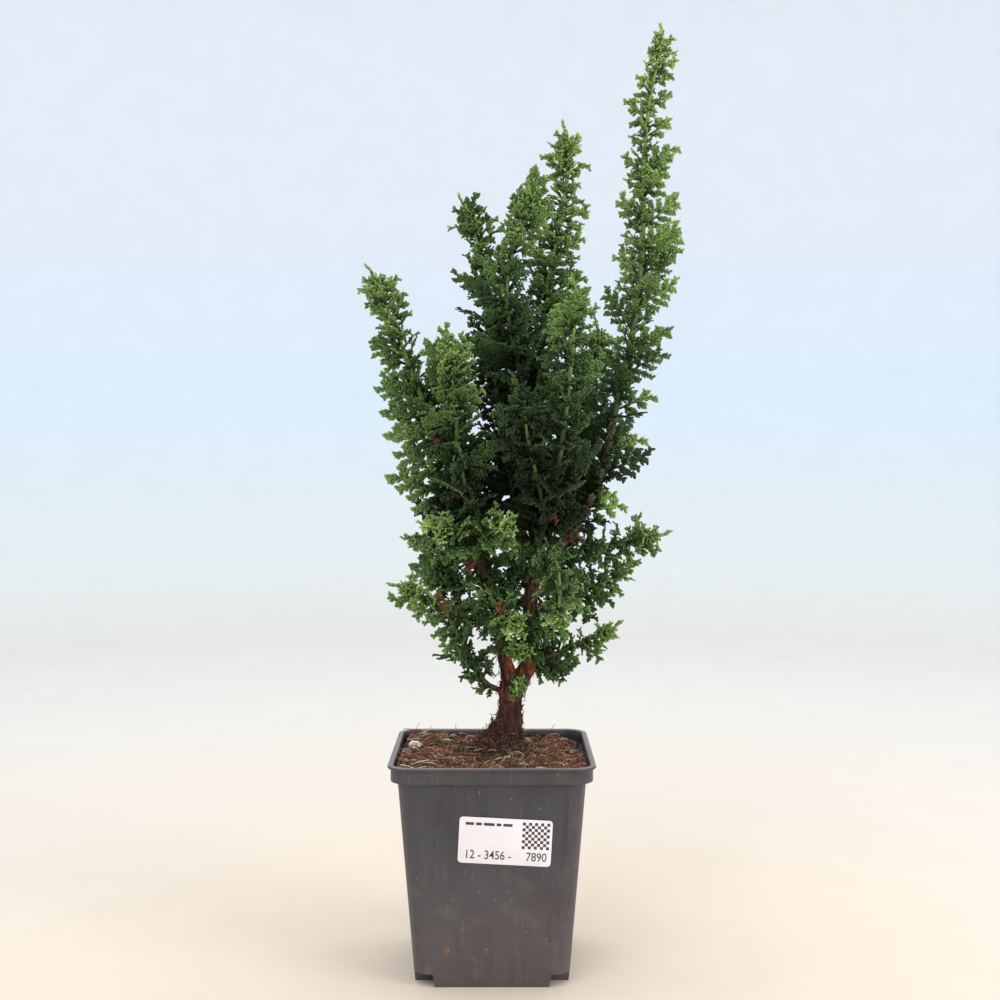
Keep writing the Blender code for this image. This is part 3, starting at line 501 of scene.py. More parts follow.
def bark():
    """Cypress bark, grown in fibrous strips that peel."""
    made, tree, shader, place = new_material("Peeling fibrous cypress bark")
    rgb = {"data_type": "RGBA", "output": 2}
    # Upright strips about 1.5 mm wide, dark in the furrows and red-brown on the ridges
    upright = add_node(tree, "Mapping", {"Vector": place, "Scale": (1.0, 1.0, 0.16)})
    strip = add_node(tree, "TexNoise",
                     {"Vector": upright, "Scale": 1 / (1.5 * MM), "Detail": 6.0})
    base = add_node(tree, "ValToRGB", (strip,), stops=(
        (0.32, "100806"), (0.45, "2a150e"), (0.55, "482619"), (0.66, "6a3a27"), (0.80, "8f6044")))
    # Round the fork the old bark is gone and the orange young layer shows in patches
    height = add_node(tree, "SeparateXYZ", (place,), output="Z")
    above = add_node(tree, "MapRange", (height, 144 * MM, 154 * MM))
    below = add_node(tree, "MapRange", (height, 170 * MM, 186 * MM, 1.0, 0.12))
    fork = add_node(tree, "Math", (above, below), operation="MULTIPLY")
    patch = add_node(tree, "TexNoise", {"Vector": place, "Scale": 1 / (7 * MM), "Detail": 3.0})
    patch = add_node(tree, "MapRange", (patch, 0.49, 0.62, 0.0, 0.9))
    peeled = add_node(tree, "Math", (fork, patch), operation="MULTIPLY")
    young = add_node(tree, "ValToRGB", (strip,), stops=(
        (0.35, "54220f"), (0.55, "96441b"), (0.75, "cf7d3c")))
    base = add_node(tree, "Mix", {0: peeled, 6: base, 7: young}, **rgb)
    # Weathered flakes are grey, and the foot is darkened by painted shade and has a little moss
    flake = add_node(tree, "TexNoise", {"Vector": place, "Scale": 1 / (5 * MM), "Detail": 4.0})
    flake = add_node(tree, "MapRange", (flake, 0.62, 0.72, 0.0, 0.35))
    base = add_node(tree, "Mix", {0: flake, 6: base, 7: linear_colour("6b5448")}, **rgb)
    painted_low_shade = add_node(tree, "MapRange", (height, 122 * MM, 142 * MM, 0.62, 1.0))
    base = add_node(tree, "Mix", {0: 1.0, 6: base, 7: painted_low_shade}, blend_type="MULTIPLY", **rgb)
    foot = add_node(tree, "MapRange", (height, 114 * MM, 124 * MM, 1.0, 0.0))
    moss = add_node(tree, "TexNoise", {"Vector": place, "Scale": 1 / (4 * MM), "Detail": 5.0})
    moss = add_node(tree, "MapRange", (moss, 0.48, 0.60, 0.0, 0.7))
    moss = add_node(tree, "Math", (foot, moss), operation="MULTIPLY")
    base = add_node(tree, "Mix", {0: moss, 6: base, 7: linear_colour("3a3f22")}, **rgb)
    bump = add_node(tree, "Bump", {"Height": strip, "Distance": 1.2 * MM})
    feed(tree, shader, {"Base Color": base, "Roughness": 0.85, "Normal": bump})
    return made


def bark_strips():
    """Loose strips of cypress bark, split off and dried."""
    made, tree, shader, place = new_material("Lifted bark strips")
    # Papery slivers from wet dark brown to dry orange-brown, each with its own tone
    tone = add_node(tree, "Attribute", output="Fac", attribute_name="tone")
    base = add_node(tree, "ValToRGB", (tone,), stops=(
        (0.0, "22110b"), (0.4, "4b2818"), (0.75, "81452a"), (1.0, "b5764c")))
    upright = add_node(tree, "Mapping", {"Vector": place, "Scale": (1.0, 1.0, 0.3)})
    grain = add_node(tree, "TexNoise", {"Vector": upright, "Scale": 1 / (0.8 * MM), "Detail": 4.0})
    bump = add_node(tree, "Bump", {"Height": grain, "Distance": 0.2 * MM})
    feed(tree, shader, {"Base Color": base, "Roughness": 0.8, "Normal": bump})
    return made


def scale_leaf():
    """Scale leaves of the cypress, living and waxy."""
    settings = bpy.context.scene.bonsai_tree
    made, tree, shader, place = new_material("Waxy cypress scale leaf")
    rgb = {"data_type": "RGBA", "output": 2}
    # A shoot runs from old scales at its foot, dark with age and painted shade, to young ones at
    # its end
    tip = add_node(tree, "Attribute", output="Fac", attribute_name="tip")
    age = add_node(tree, "MapRange", (tip, 0.12, 0.85))
    old = (*settings.old_leaf_and_shade, 1.0)
    grown = add_node(tree, "Mix", {0: age, 6: old, 7: (*settings.grown_leaf, 1.0)}, **rgb)
    # Fresh sprays end yellow-green, and painted shade darkens the sprays inside the crown near to
    # black
    fresh = add_node(tree, "Attribute", output="Fac", attribute_name="fresh")
    share = add_node(tree, "MapRange", (fresh, 0.05, 0.9))
    bright = add_node(tree, "Mix", {0: share, 6: grown, 7: (*settings.young_leaf, 1.0)}, **rgb)
    end = add_node(tree, "MapRange", (tip, 0.3, 1.0, 0.08, 1.0))
    base = add_node(tree, "Mix", {0: end, 6: grown, 7: bright}, **rgb)
    # Painted shade: fresh values below 0.1 darken the colour
    shade = add_node(tree, "MapRange", (fresh, -0.5, 0.1, 0.22, 1.0))
    base = add_node(tree, "Mix", {0: 1.0, 6: base, 7: shade}, blend_type="MULTIPLY", **rgb)
    dead = add_node(tree, "Attribute", output="Fac", attribute_name="dead")
    base = add_node(tree, "Mix", {0: dead, 6: base, 7: linear_colour("70442f")}, **rgb)
    # Light and dark drifts through the crown, and a skin rough with scales about 1 mm long
    drift = add_node(tree, "TexNoise", {"Vector": place, "Scale": 1 / (22 * MM), "Detail": 2.0})
    drift = add_node(tree, "MapRange", (drift, 0.3, 0.7, 0.76, 1.24))
    base = add_node(tree, "Mix", {0: 1.0, 6: base, 7: drift}, blend_type="MULTIPLY", **rgb)
    scales = add_node(tree, "TexNoise", {"Vector": place, "Scale": 1 / (1.0 * MM)})
    mottle = add_node(tree, "MapRange", (scales, 0.35, 0.65, 0.7, 1.3))
    base = add_node(tree, "Mix", {0: 1.0, 6: base, 7: mottle}, blend_type="MULTIPLY", **rgb)
    bump = add_node(tree, "Bump", {"Height": scales, "Distance": 0.25 * MM})
    feed(tree, shader, {"Base Color": base, "Roughness": 0.55, "Specular IOR Level": 0.25,
                        "Normal": bump})
    return made


def young_bark():
    """Bark of the leafy stems, still smooth."""
    made, tree, shader, place = new_material("Young cypress bark")
    # Red-brown at the foot, olive and then green where the stem is this year's growth
    age = add_node(tree, "Attribute", output="Fac", attribute_name="tip")
    base = add_node(tree, "ValToRGB", (age,), stops=(
        (0.0, "4c2a1c"), (0.18, "4c3723"), (0.42, "4c552a"), (1.0, "859d48")))
    upright = add_node(tree, "Mapping", {"Vector": place, "Scale": (1.0, 1.0, 0.3)})
    grain = add_node(tree, "TexNoise", {"Vector": upright, "Scale": 1 / (1.2 * MM), "Detail": 4.0})
    shade = add_node(tree, "MapRange", (grain, 0.3, 0.7, 0.7, 1.25))
    base = add_node(tree, "Mix", {0: 1.0, 6: base, 7: shade}, 2, data_type="RGBA",
                    blend_type="MULTIPLY")
    bump = add_node(tree, "Bump", {"Height": grain, "Distance": 0.2 * MM})
    feed(tree, shader, {"Base Color": base, "Roughness": 0.65, "Normal": bump})
    return made


def moss_leaf():
    """Cushion moss and algae, living."""
    made, tree, shader, place = new_material("Cushion moss")
    # Velvety blades, each with its own tone from wet dark green to dry straw
    tone = add_node(tree, "Attribute", output="Fac", attribute_name="tone")
    base = add_node(tree, "ValToRGB", (tone,), stops=(
        (0.0, "1e2414"), (0.4, "414a22"), (0.75, "7c7d42"), (1.0, "bdbb8e")))
    drift = add_node(tree, "TexNoise", {"Vector": place, "Scale": 1 / (3 * MM)})
    shade = add_node(tree, "MapRange", (drift, 0.3, 0.7, 0.7, 1.2))
    base = add_node(tree, "Mix", {0: 1.0, 6: base, 7: shade}, 2, data_type="RGBA",
                    blend_type="MULTIPLY")
    feed(tree, shader, {"Base Color": base, "Roughness": 0.9, "Sheen Weight": 0.3})
    return made


def finish_piece(name, bm, materials, nodes=(), smooth=True):
    """Make a bmesh the mesh of a named piece that rides with the object."""
    mesh = bpy.data.meshes.new(name)
    bm.to_mesh(mesh)
    bm.free()
    for material in materials:
        mesh.materials.append(material)
    if smooth:
        mesh.shade_smooth()
    piece = bpy.data.objects.new(name, mesh)
    bpy.context.scene.collection.objects.link(piece)
    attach(piece, "root")
    if nodes:
        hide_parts(*nodes)
    return piece


def scratch_object(name, bm):
    """Object that only lasts until a modifier has used it."""
    mesh = bpy.data.meshes.new(name)
    bm.to_mesh(mesh)
    bm.free()
    made = bpy.data.objects.new(name, mesh)
    bpy.context.scene.collection.objects.link(made)
    return made


def drop(thing):
    """Remove an object with its mesh."""
    mesh = thing.data
    bpy.data.objects.remove(thing, do_unlink=True)
    bpy.data.meshes.remove(mesh)


def evaluated_bmesh(thing):
    """Bmesh of an object as its modifiers leave it."""
    bpy.context.view_layer.update()
    graph = bpy.context.evaluated_depsgraph_get()
    bm = bmesh.new()
    bm.from_object(thing, graph)
    return bm


def rounded_square(half, corner, height):
    """Points of a square with rounded corners, anticlockwise from above."""
    points = []
    for quarter in range(4):
        middle = math.radians(45 + 90 * quarter)
        centre_x = math.copysign(half - corner, math.cos(middle))
        centre_y = math.copysign(half - corner, math.sin(middle))
        for step in range(CORNER_STEPS + 1):
            angle = math.radians(90 * quarter + 90 * step / CORNER_STEPS)
            x = centre_x + corner * math.cos(angle)
            y = centre_y + corner * math.sin(angle)
            points.append(Vector((x, y, height)))
    return points


def skin_rings(bm, rings):
    """Closed skin from a first ring, extruded and moved onto each later ring."""
    row = [bm.verts.new(point) for point in rings[0]]
    edges = [bm.edges.new((a, b)) for a, b in zip(row, row[1:] + row[:1])]
    bm.faces.new(row)
    for ring in rings[1:]:
        grown = bmesh.ops.extrude_edge_only(bm, edges=edges)["geom"]
        fresh = [item for item in grown if isinstance(item, bmesh.types.BMVert)]
        place_of = {tuple(old.co): point for old, point in zip(row, ring)}
        by_place = {}
        for vert in fresh:
            by_place[tuple(vert.co)] = vert
        row = [by_place[tuple(old.co)] for old in row]
        for vert in row:
            vert.co = place_of[tuple(vert.co)]
        edges = [bm.edges.get((a, b)) for a, b in zip(row, row[1:] + row[:1])]
    bm.faces.new(row)
    bmesh.ops.recalc_face_normals(bm, faces=bm.faces)


def wall_half(height, inset):
    """Half width of the pot's outer wall at a height, less an inset."""
    rise = height / (POT_HEIGHT - COLLAR_HEIGHT)
    return BASE_HALF + (BODY_TOP_HALF - BASE_HALF) * rise - inset


def square_rings(profile):
    """Rounded squares for a profile of (half width, corner, height) in mm."""
    return [rounded_square(half * MM, corner * MM, height * MM) for half, corner, height in profile]


def corner_blocks(grow):
    """Blocks that lift the four corners of the base, grown by a wall's thickness."""
    bm = bmesh.new()
    for sign_x in (-1, 1):
        for sign_y in (-1, 1):
            made = bmesh.ops.create_cube(bm, size=1.0)["verts"]
            for vert in made:
                top = vert.co.z > 0
                inner = FOOT_HALF - grow + (FOOT_SLANT if top else 0.0)
                x = LIP_HALF if vert.co.x > 0 else inner
                y = LIP_HALF if vert.co.y > 0 else inner
                z = NOTCH_HEIGHT + grow if top else -NOTCH_HEIGHT
                vert.co = Vector((sign_x * x, sign_y * y, z))
    bmesh.ops.recalc_face_normals(bm, faces=bm.faces)
    return scratch_object("corner_blocks", bm)


def cut(thing, cutter):
    """Cut one object from another and drop the cutter."""
    boolean = thing.modifiers.new("cut", "BOOLEAN")
    boolean.operation = "DIFFERENCE"
    boolean.solver = "EXACT"
    boolean.object = cutter
    bm = evaluated_bmesh(thing)
    thing.modifiers.clear()
    bm.to_mesh(thing.data)
    bm.free()
    drop(cutter)


def build_pot():
    """Tub with rounded lip, collar and foot edges, raised corners and drain holes."""
    corner = (TOP_CORNER + WALL) / MM
    outer = bmesh.new()
    skin_rings(outer, square_rings((
        (40.7, 8.4, 0), (41.12, 8.8, 0.18), (41.35, 9, 0.6), (45.6, 9.5, 55.0), (49.9, 10, 110.4),
        (50.2, 10.2, 110.9), (52.9, corner, 111.0), (53.35, corner, 111.2), (53.5, corner, 111.7),
        (53.5, corner, 117.6), (53.7, corner, 118.0), (54.6, corner, 118.2),
        (54.95, corner, 118.6), (55, corner, 119.2), (54.85, corner, 119.75),
        (54.3, 11.1, 120.0),
    )))
    inner = bmesh.new()
    skin_rings(inner, square_rings((
        (39.9, 7.5, 2.0), (48.5, 8.5, 112.0), (51.6, 9.8, 113.6), (51.95, 10, 114.2),
        (52.0, 10, 119.0), (52.3, 10.2, 119.75), (52.9, 10.4, 120.1), (53.0, 10.4, 122.0),
    )))
    pot = scratch_object("pot_body", outer)
    hollow = scratch_object("pot_hollow", inner)
    cut(hollow, corner_blocks(FLOOR))
    cut(pot, corner_blocks(0.0))
    cut(pot, hollow)
    drills = bmesh.new()
    for x in (-1, 1):
        for y in (-1, 1):
            place = Matrix.Translation((x * DRAIN_OFFSET, y * DRAIN_OFFSET, NOTCH_HEIGHT))
            bmesh.ops.create_cone(drills, cap_ends=True, segments=28, radius1=DRAIN_RADIUS,
                                  radius2=DRAIN_RADIUS, depth=4 * FLOOR, matrix=place)
    cut(pot, scratch_object("drills", drills))
    bm = bmesh.new()
    bm.from_mesh(pot.data)
    drop(pot)
    piece = finish_piece("moulded_pot", bm, [pot_plastic()], ("pot",))
    piece.data.set_sharp_from_angle(angle=math.radians(38))


def on_front_wall(height):
    """Matrix that lays a flat drawing in X and Y on the slanted front wall at the label."""
    lean = math.atan2(BODY_TOP_HALF - BASE_HALF, POT_HEIGHT - COLLAR_HEIGHT)
    x, z = LABEL_CENTRE
    clear = (GAP + height) / math.cos(lean)
    place = Matrix.Translation((x, -wall_half(z, 0.0) - clear, z))
    turn = Matrix.Rotation(lean, 4, "X") @ Matrix.Rotation(LABEL_TILT, 4, "Y")
    return place @ turn @ Matrix.Rotation(math.radians(90), 4, "X")


def rounded_plate(bm, width, height, thick, corner):
    """Flat plate with rounded corners and a softened front edge, lying in X and Y."""
    size = Matrix.Diagonal((width, height, thick, 1.0))
    made = bmesh.ops.create_cube(bm, size=1.0, matrix=Matrix.Translation((0, 0, thick / 2)) @ size)
    edges = {edge for vert in made["verts"] for edge in vert.link_edges}
    upright = [e for e in edges if abs(e.verts[0].co.z - e.verts[1].co.z) > thick / 2]
    bmesh.ops.bevel(bm, geom=upright, offset=corner, segments=8, profile=0.5, affect="EDGES",
                    material=-1)
    rim = [e for e in bm.edges if all(v.co.z > thick * 0.9 for v in e.verts)]
    bmesh.ops.bevel(bm, geom=rim, offset=thick * 0.3, segments=2, profile=0.5, affect="EDGES",
                    material=-1)


def printed_bar(bm, x, y, width, height, lift):
    """One flat printed bar, centred at a place on the label in mm."""
    place = Matrix.Translation((x * MM, y * MM, lift))
    size = Matrix.Diagonal((width * MM, height * MM, 0.03 * MM, 1.0))
    bmesh.ops.create_cube(bm, size=1.0, matrix=place @ size)


def printed_numbers(bm, words, x, y, size, lift):
    """Plain numbers as thin solids, from their lower left corner in mm."""
    text = bpy.data.curves.new("numbers", "FONT")
    text.body = words
    text.size = size * MM
    text.extrude = 0.015 * MM
    text.offset = 0.05 * MM
    carrier = bpy.data.objects.new("numbers", text)
    bpy.context.scene.collection.objects.link(carrier)
    bpy.context.view_layer.update()
    mesh = bpy.data.meshes.new_from_object(carrier.evaluated_get(
        bpy.context.evaluated_depsgraph_get()))
    start = len(bm.verts)
    bm.from_mesh(mesh)
    bm.verts.ensure_lookup_table()
    place = Matrix.Translation((x * MM, y * MM, lift)) @ Matrix.Diagonal((0.84, 1.0, 1.0, 1.0))
    bmesh.ops.transform(bm, matrix=place, verts=bm.verts[start:])
    bpy.data.objects.remove(carrier, do_unlink=True)
    bpy.data.curves.remove(text)
    bpy.data.meshes.remove(mesh)


def build_label():
    """Sticker with plain numbers, ruled lines and a frame of regular squares."""
    thick = 0.3 * MM
    bm = bmesh.new()
    rounded_plate(bm, *LABEL_SIZE, thick, 2 * MM)
    bmesh.ops.transform(bm, matrix=on_front_wall(0.0), verts=bm.verts)
    sticker = finish_piece("paper_label", bm, [label_paper()], ("label",))
    sticker.data.set_sharp_from_angle(angle=math.radians(40))
    lift = thick + 0.01 * MM
    ink = bmesh.new()
    left = -21.2
    for width in (4.4, 3.0, 5.6, 2.4, 4.8):
        printed_bar(ink, left + width / 2, 9.0, width, 1.5, lift)
        left += width + 1.1
    printed_numbers(ink, "12 - 3456 -", -21.2, -9.8, 6.6, lift)
    printed_numbers(ink, "7890", 11.2, -9.8, 6.6, lift)
    for i in range(9):
        for j in range(9):
            if (i + j) % 2 == 0:
                printed_bar(ink, 9.6 + 1.6 * i, -2.6 + 1.6 * j, 1.6, 1.6, lift)
    bmesh.ops.transform(ink, matrix=on_front_wall(0.0), verts=ink.verts)
    finish_piece("label_print", ink, [label_ink()], smooth=False)


def merged_copy(name):
    """Bmesh of a CAD node with its loose triangles merged."""
    bm = bmesh.new()
    bm.from_mesh(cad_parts[name].data)
    bmesh.ops.remove_doubles(bm, verts=bm.verts, dist=0.001 * MM)
    return bm


def tree_of(bm):
    """Search tree of a bmesh."""
    return BVHTree.FromBMesh(bm)


def tree_of_node(name):
    """Search tree of a CAD node."""
    bm = merged_copy(name)
    tree = tree_of(bm)
    bm.free()
    return tree


def add_copy(bm, mesh, matrix, **values):
    """Add a placed copy of a mesh, with one value for each named attribute."""
    copy = mesh.copy()
    copy.transform(matrix)
    for name, value in values.items():
        layer = copy.attributes.get(name) or copy.attributes.new(name, "FLOAT", "POINT")
        layer.data.foreach_set("value", [value] * len(copy.vertices))
    bm.from_mesh(copy)
    bpy.data.meshes.remove(copy)


def pattern_mesh(name, bm):
    """Mesh of a bmesh that is only copied from."""
    mesh = bpy.data.meshes.new(name)
    bm.to_mesh(mesh)
    bm.free()
    return mesh


def drop_meshes(meshes):
    """Remove meshes that were only copied from."""
    for mesh in meshes:
        bpy.data.meshes.remove(mesh)


def build_soil():
    """Soil with a fine bumpy top, its crumbs, chips and fibres."""
    settings = bpy.context.scene.bonsai_soil
    bm = merged_copy("soil")
    for _ in range(4):
        top = {e for f in bm.faces if f.normal.z > 0.5 and f.calc_center_median().z > 0.105
               for e in f.edges if e.calc_length() > 2.2 * MM}
        if top:
            bmesh.ops.subdivide_edges(bm, edges=list(top), cuts=1)
        bmesh.ops.triangulate(bm, faces=bm.faces)
    boxes = [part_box(name) for name in ("white_pebble", "green_pebble")]
    stones = [(low + high) / 2 for low, high in boxes]
    for vert in bm.verts:
        inner = math.hypot(vert.co.x - FOOT_PLACE[0], vert.co.y) > FOOT_RADIUS + 2 * GAP
        top = vert.co.z > 0.105 and max(abs(vert.co.x), abs(vert.co.y)) < 51 * MM
        if inner and top and vert.normal.z > 0.3:
            rough = noise.fractal(vert.co / (8 * MM), 0.6, 2.0, 4)
            low = max(0.0, 114 * MM - vert.co.z)
            back = 3.2 * MM * max(0.0, min(1.0, (vert.co.y - 0.02) / 0.025))
            away = math.hypot(vert.co.x - FOOT_PLACE[0] + 3 * MM, vert.co.y)
            mound = 2.5 * MM * max(0.0, min(1.0, (24 * MM - away) / (9 * MM)))
            near = min((vert.co.xy - stone.xy).length for stone in stones)
            lift = settings.roughness * rough + 0.45 * low + back + mound
            vert.co.z += lift if near > 5 * MM else min(lift, 0.0)
    bmesh.ops.recalc_face_normals(bm, faces=bm.faces)
    tree = tree_of(bm)
    finish_piece("peat_soil", bm, [peat()], ("soil",))
    build_crumbs(tree, settings)


def ground_at(tree, x, y):
    """Height of the soil at a place."""
    hit = tree.ray_cast(Vector((x, y, 0.2)), Vector((0, 0, -1)))[0]
    return hit.z if hit else None


def soil_places(draw, tree, count, reach=50 * MM):
    """Seeded places on the soil, clear of the trunk."""
    places = []
    while len(places) < count:
        x = draw.uniform(-reach, reach)
        y = draw.uniform(-reach, reach)
        if math.hypot(x - FOOT_PLACE[0], y) < FOOT_RADIUS:
            continue
        if math.hypot(max(abs(x) - 41 * MM, 0), max(abs(y) - 41 * MM, 0)) > 9 * MM:
            continue
        z = ground_at(tree, x, y)
        if z and z > 0.1:
            places.append(Vector((x, y, z)))
    return places


def turned(draw, place, size):
    """Matrix with a seeded turn, at a place, with a size for each axis."""
    angles = [draw.uniform(0, math.tau) for _ in range(2)]
    turn = Matrix.Rotation(angles[0], 4, "Z") @ Matrix.Rotation(angles[1], 4, "X")
    return Matrix.Translation(place) @ turn @ Matrix.Diagonal((*size, 1.0))


def fibre_mesh(curl, rise, draw):
    """Bent fibre of three sides along X, one unit long and a twentieth thick."""
    bm = bmesh.new()
    upright = Matrix.Rotation(math.radians(90), 4, "Y")
    made = bmesh.ops.create_circle(bm, cap_ends=True, segments=3, radius=0.03, matrix=upright)
    verts = made["verts"]
    edges = list({edge for vert in verts for edge in vert.link_edges})
    heading = Vector((1.0, 0.0, rise))
    steps = 5
    for _ in range(steps):
        grown = bmesh.ops.extrude_edge_only(bm, edges=edges)["geom"]
        verts = [item for item in grown if isinstance(item, bmesh.types.BMVert)]
        edges = [item for item in grown if isinstance(item, bmesh.types.BMEdge)
                 and all(vert in verts for vert in item.verts)]
        heading = Matrix.Rotation(curl * draw.uniform(0.4, 1.0), 3, "Z") @ heading
        heading.z -= 2 * rise / steps * draw.uniform(0.6, 1.2)
        bmesh.ops.translate(bm, vec=heading.normalized() / steps, verts=verts)
    bmesh.ops.holes_fill(bm, edges=edges, sides=3)
    bmesh.ops.recalc_face_normals(bm, faces=bm.faces)
    return pattern_mesh("fibre", bm)


def fibre_meshes(draw):
    """Fibres from nearly straight to tightly curled, lying and arching."""
    shapes = ((0.1, 0.2), (0.3, 0.5), (-0.5, 0.3), (0.7, 0.8), (-0.9, 0.4), (1.2, 0.6))
    return [fibre_mesh(curl, rise, draw) for curl, rise in shapes]


def lump_mesh(shape):
    """Unit lump, round as a crumb or square as a chip."""
    bm = bmesh.new()
    if shape == "crumb":
        bmesh.ops.create_icosphere(bm, subdivisions=1, radius=1.0)
    else:
        bmesh.ops.create_cube(bm, size=1.6)
    return pattern_mesh(shape, bm)


def lying(draw, place, length):
    """Matrix that lays a unit fibre on the soil at a place."""
    turn = Matrix.Rotation(draw.uniform(0, math.tau), 4, "Z")
    tilt = Matrix.Rotation(draw.uniform(-0.55, 0.2), 4, "Y")
    return Matrix.Translation(place) @ turn @ tilt @ Matrix.Scale(length, 4)


def build_crumbs(tree, settings):
    """Crumbs, coir fibres, bark chips, pale grains and curled roots lying on the soil."""
    draw = random.Random(SEED + 100)
    crumb, chip = lump_mesh("crumb"), lump_mesh("chip")
    fibres = fibre_meshes(draw)
    bm = bmesh.new()
    bm.verts.layers.float.new("tone")
    for place in soil_places(draw, tree, settings.crumbs):
        size = draw.uniform(0.4, 1.5) * draw.uniform(0.6, 1.3)
        shape = [size * draw.uniform(0.6, 1.3) * MM for _ in range(3)]
        tone = 0.8 * draw.random()
        add_copy(bm, crumb, turned(draw, place, shape), tone=tone)
    for place in soil_places(draw, tree, 26):
        shape = [draw.uniform(0.9, 2.2) * MM, draw.uniform(0.6, 1.2) * MM, 0.4 * MM]
        add_copy(bm, chip, turned(draw, place, shape), tone=draw.uniform(0.62, 0.8))
    for place in soil_places(draw, tree, 130):
        size = draw.uniform(0.3, 1.0) * MM
        add_copy(bm, crumb, turned(draw, place, (size, size, size)), tone=draw.uniform(0.92, 1.0))
    for place in soil_places(draw, tree, settings.fibres):
        length = draw.uniform(3, 10) * MM
        place.z += draw.uniform(0.1, 2.0) * MM
        tone = draw.choices((0.12, 0.35, 0.55, 0.72, 0.9), (3, 7, 8, 5, 2))[0]
        tone += draw.uniform(-0.08, 0.08)
        matrix = lying(draw, place, length)
        tip = matrix @ Vector((0.9, 0.0, 0.0))
        if max(abs(tip.x), abs(tip.y)) < 49.5 * MM:
            add_copy(bm, draw.choice(fibres), matrix, tone=tone)
    for x, y in ((-43, 17), (-41, 14), (41, 13), (38, 16), (22, 8), (-36, -32), (4, -40)):
        place = Vector((x * MM, y * MM, ground_at(tree, x * MM, y * MM) + 0.8 * MM))
        add_copy(bm, fibres[-1], lying(draw, place, 5 * MM), tone=0.95)
    for x, y, lean in ((-46, 47, 0.2), (-20, 49, -0.4), (33, 48, 0.3), (47, 20, 0.9)):
        place = Vector((x * MM, y * MM, ground_at(tree, x * MM, y * MM)))
        turn = Matrix.Rotation(lean, 4, "Y") @ Matrix.Rotation(-1.4, 4, "Y")
        hair = Matrix.Translation(place) @ turn @ Matrix.Diagonal((11 * MM, 5 * MM, 5 * MM, 1.0))
        add_copy(bm, fibres[1], hair, tone=0.2)
    drop_meshes([crumb, chip, *fibres])
    finish_piece("loose_peat", bm, [loose_peat()])


def build_stone(node, light, dark):
    """One lump of grit, pitted, where its CAD stone lies."""
    low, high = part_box(node)
    half = (high - low) / 2
    bm = bmesh.new()
    bmesh.ops.create_icosphere(bm, subdivisions=4, radius=1.0)
    for vert in bm.verts:
        lump = 0.94 + 0.16 * noise.noise(vert.co * 1.4 + half * 900)
        lump += 0.05 * noise.noise(vert.co * 5)
        vert.co = Vector(vert.co[i] * half[i] * lump for i in range(3))
    centre = (low + high) / 2
    bmesh.ops.translate(bm, vec=centre, verts=bm.verts)
    finish_piece(node + "_grit", bm, [grit(node.replace("_", " "), light, dark)], (node,))


def frame_along(direction):
    """Side and up vectors square to a direction."""
    direction = direction.normalized()
    helper = Vector((0, 1, 0)) if abs(direction.y) < 0.9 else Vector((1, 0, 0))
    side = direction.cross(helper).normalized()
    return side, side.cross(direction).normalized()


def tube_rings(line, radii, sides):
    """Rings round a line, whose frame is carried along it."""
    side, _ = frame_along(line[1] - line[0])
    rings = []
    for i, (centre, radius) in enumerate(zip(line, radii)):
        direction = (line[min(i + 1, len(line) - 1)] - line[max(i - 1, 0)]).normalized()
        side = (side - direction * side.dot(direction)).normalized()
        up = direction.cross(side)
        ring = []
        for j in range(sides):
            angle = math.tau * j / sides
            ring.append(centre + (side * math.cos(angle) + up * math.sin(angle)) * radius)
        rings.append(ring)
    return rings


def curve_points(points, step):
    """Points about a step apart on a Catmull-Rom curve through the given points."""
    ends = [2 * points[0] - points[1]] + list(points) + [2 * points[-1] - points[-2]]
    line = []
    for i in range(1, len(ends) - 2):
        before, start, stop, after = ends[i - 1:i + 3]
        parts = max(1, round((stop - start).length / step))
        for j in range(parts):
            t = j / parts
            bend = 2 * before - 5 * start + 4 * stop - after
            twist = -before + 3 * start - 3 * stop + after
            line.append(0.5 * (2 * start + (stop - before) * t + bend * t * t + twist * t ** 3))
    line.append(points[-1].copy())
    return line


def limb_line(rows, step):
    """Smooth centre line and radii of a limb from its rows in mm."""
    line = curve_points([Vector(row[:3]) * MM for row in rows], step)
    sizes = curve_points([Vector((row[3], 0, 0)) * MM for row in rows], 1.0)
    lengths = [0.0]
    for a, b in zip(rows, rows[1:]):
        lengths.append(lengths[-1] + (Vector(b[:3]) - Vector(a[:3])).length)
    radii = []
    travelled = 0.0
    for i, point in enumerate(line):
        if i:
            travelled += (point - line[i - 1]).length / MM
        spot = min(travelled, lengths[-1] - 1e-6)
        k = next(j for j in range(1, len(lengths)) if lengths[j] >= spot)
        part = (spot - lengths[k - 1]) / (lengths[k] - lengths[k - 1])
        radii.append((sizes[k - 1].x * (1 - part) + sizes[k].x * part))
    return line, radii


def bark_lift(point, lines, ridge):
    """How far the bark stands out at a point: long ridges that follow the nearest limb."""
    best = min(((point - centre).length, i, j) for i, line in enumerate(lines)
               for j, centre in enumerate(line))
    _, i, j = best
    line = lines[i]
    away = (point - line[j]).normalized()
    along = j / len(line) * 6
    place = Vector((away.x * 3.2, away.y * 3.2 + away.z * 2, along + i))
    ridges = noise.fractal(place, 0.8, 2.1, 4)
    lumps = noise.noise(point / (6 * MM))
    return ridge * (0.9 * ridges + 0.5 * lumps)


def root_flare(point):
    """How far the matted roots stand out round the foot, most of all to the left."""
    left = max(0.0, min(1.0, (FOOT_PLACE[0] - point.x) / (6 * MM)))
    low = max(0.0, min(1.0, (141 * MM - point.z) / (7 * MM)))
    spread = 4.2 * MM + 3 * MM * max(0.0, min(1.0, (135 * MM - point.z) / (18 * MM)))
    return spread * low * left * (0.85 + 0.4 * noise.noise(point / (4 * MM)))


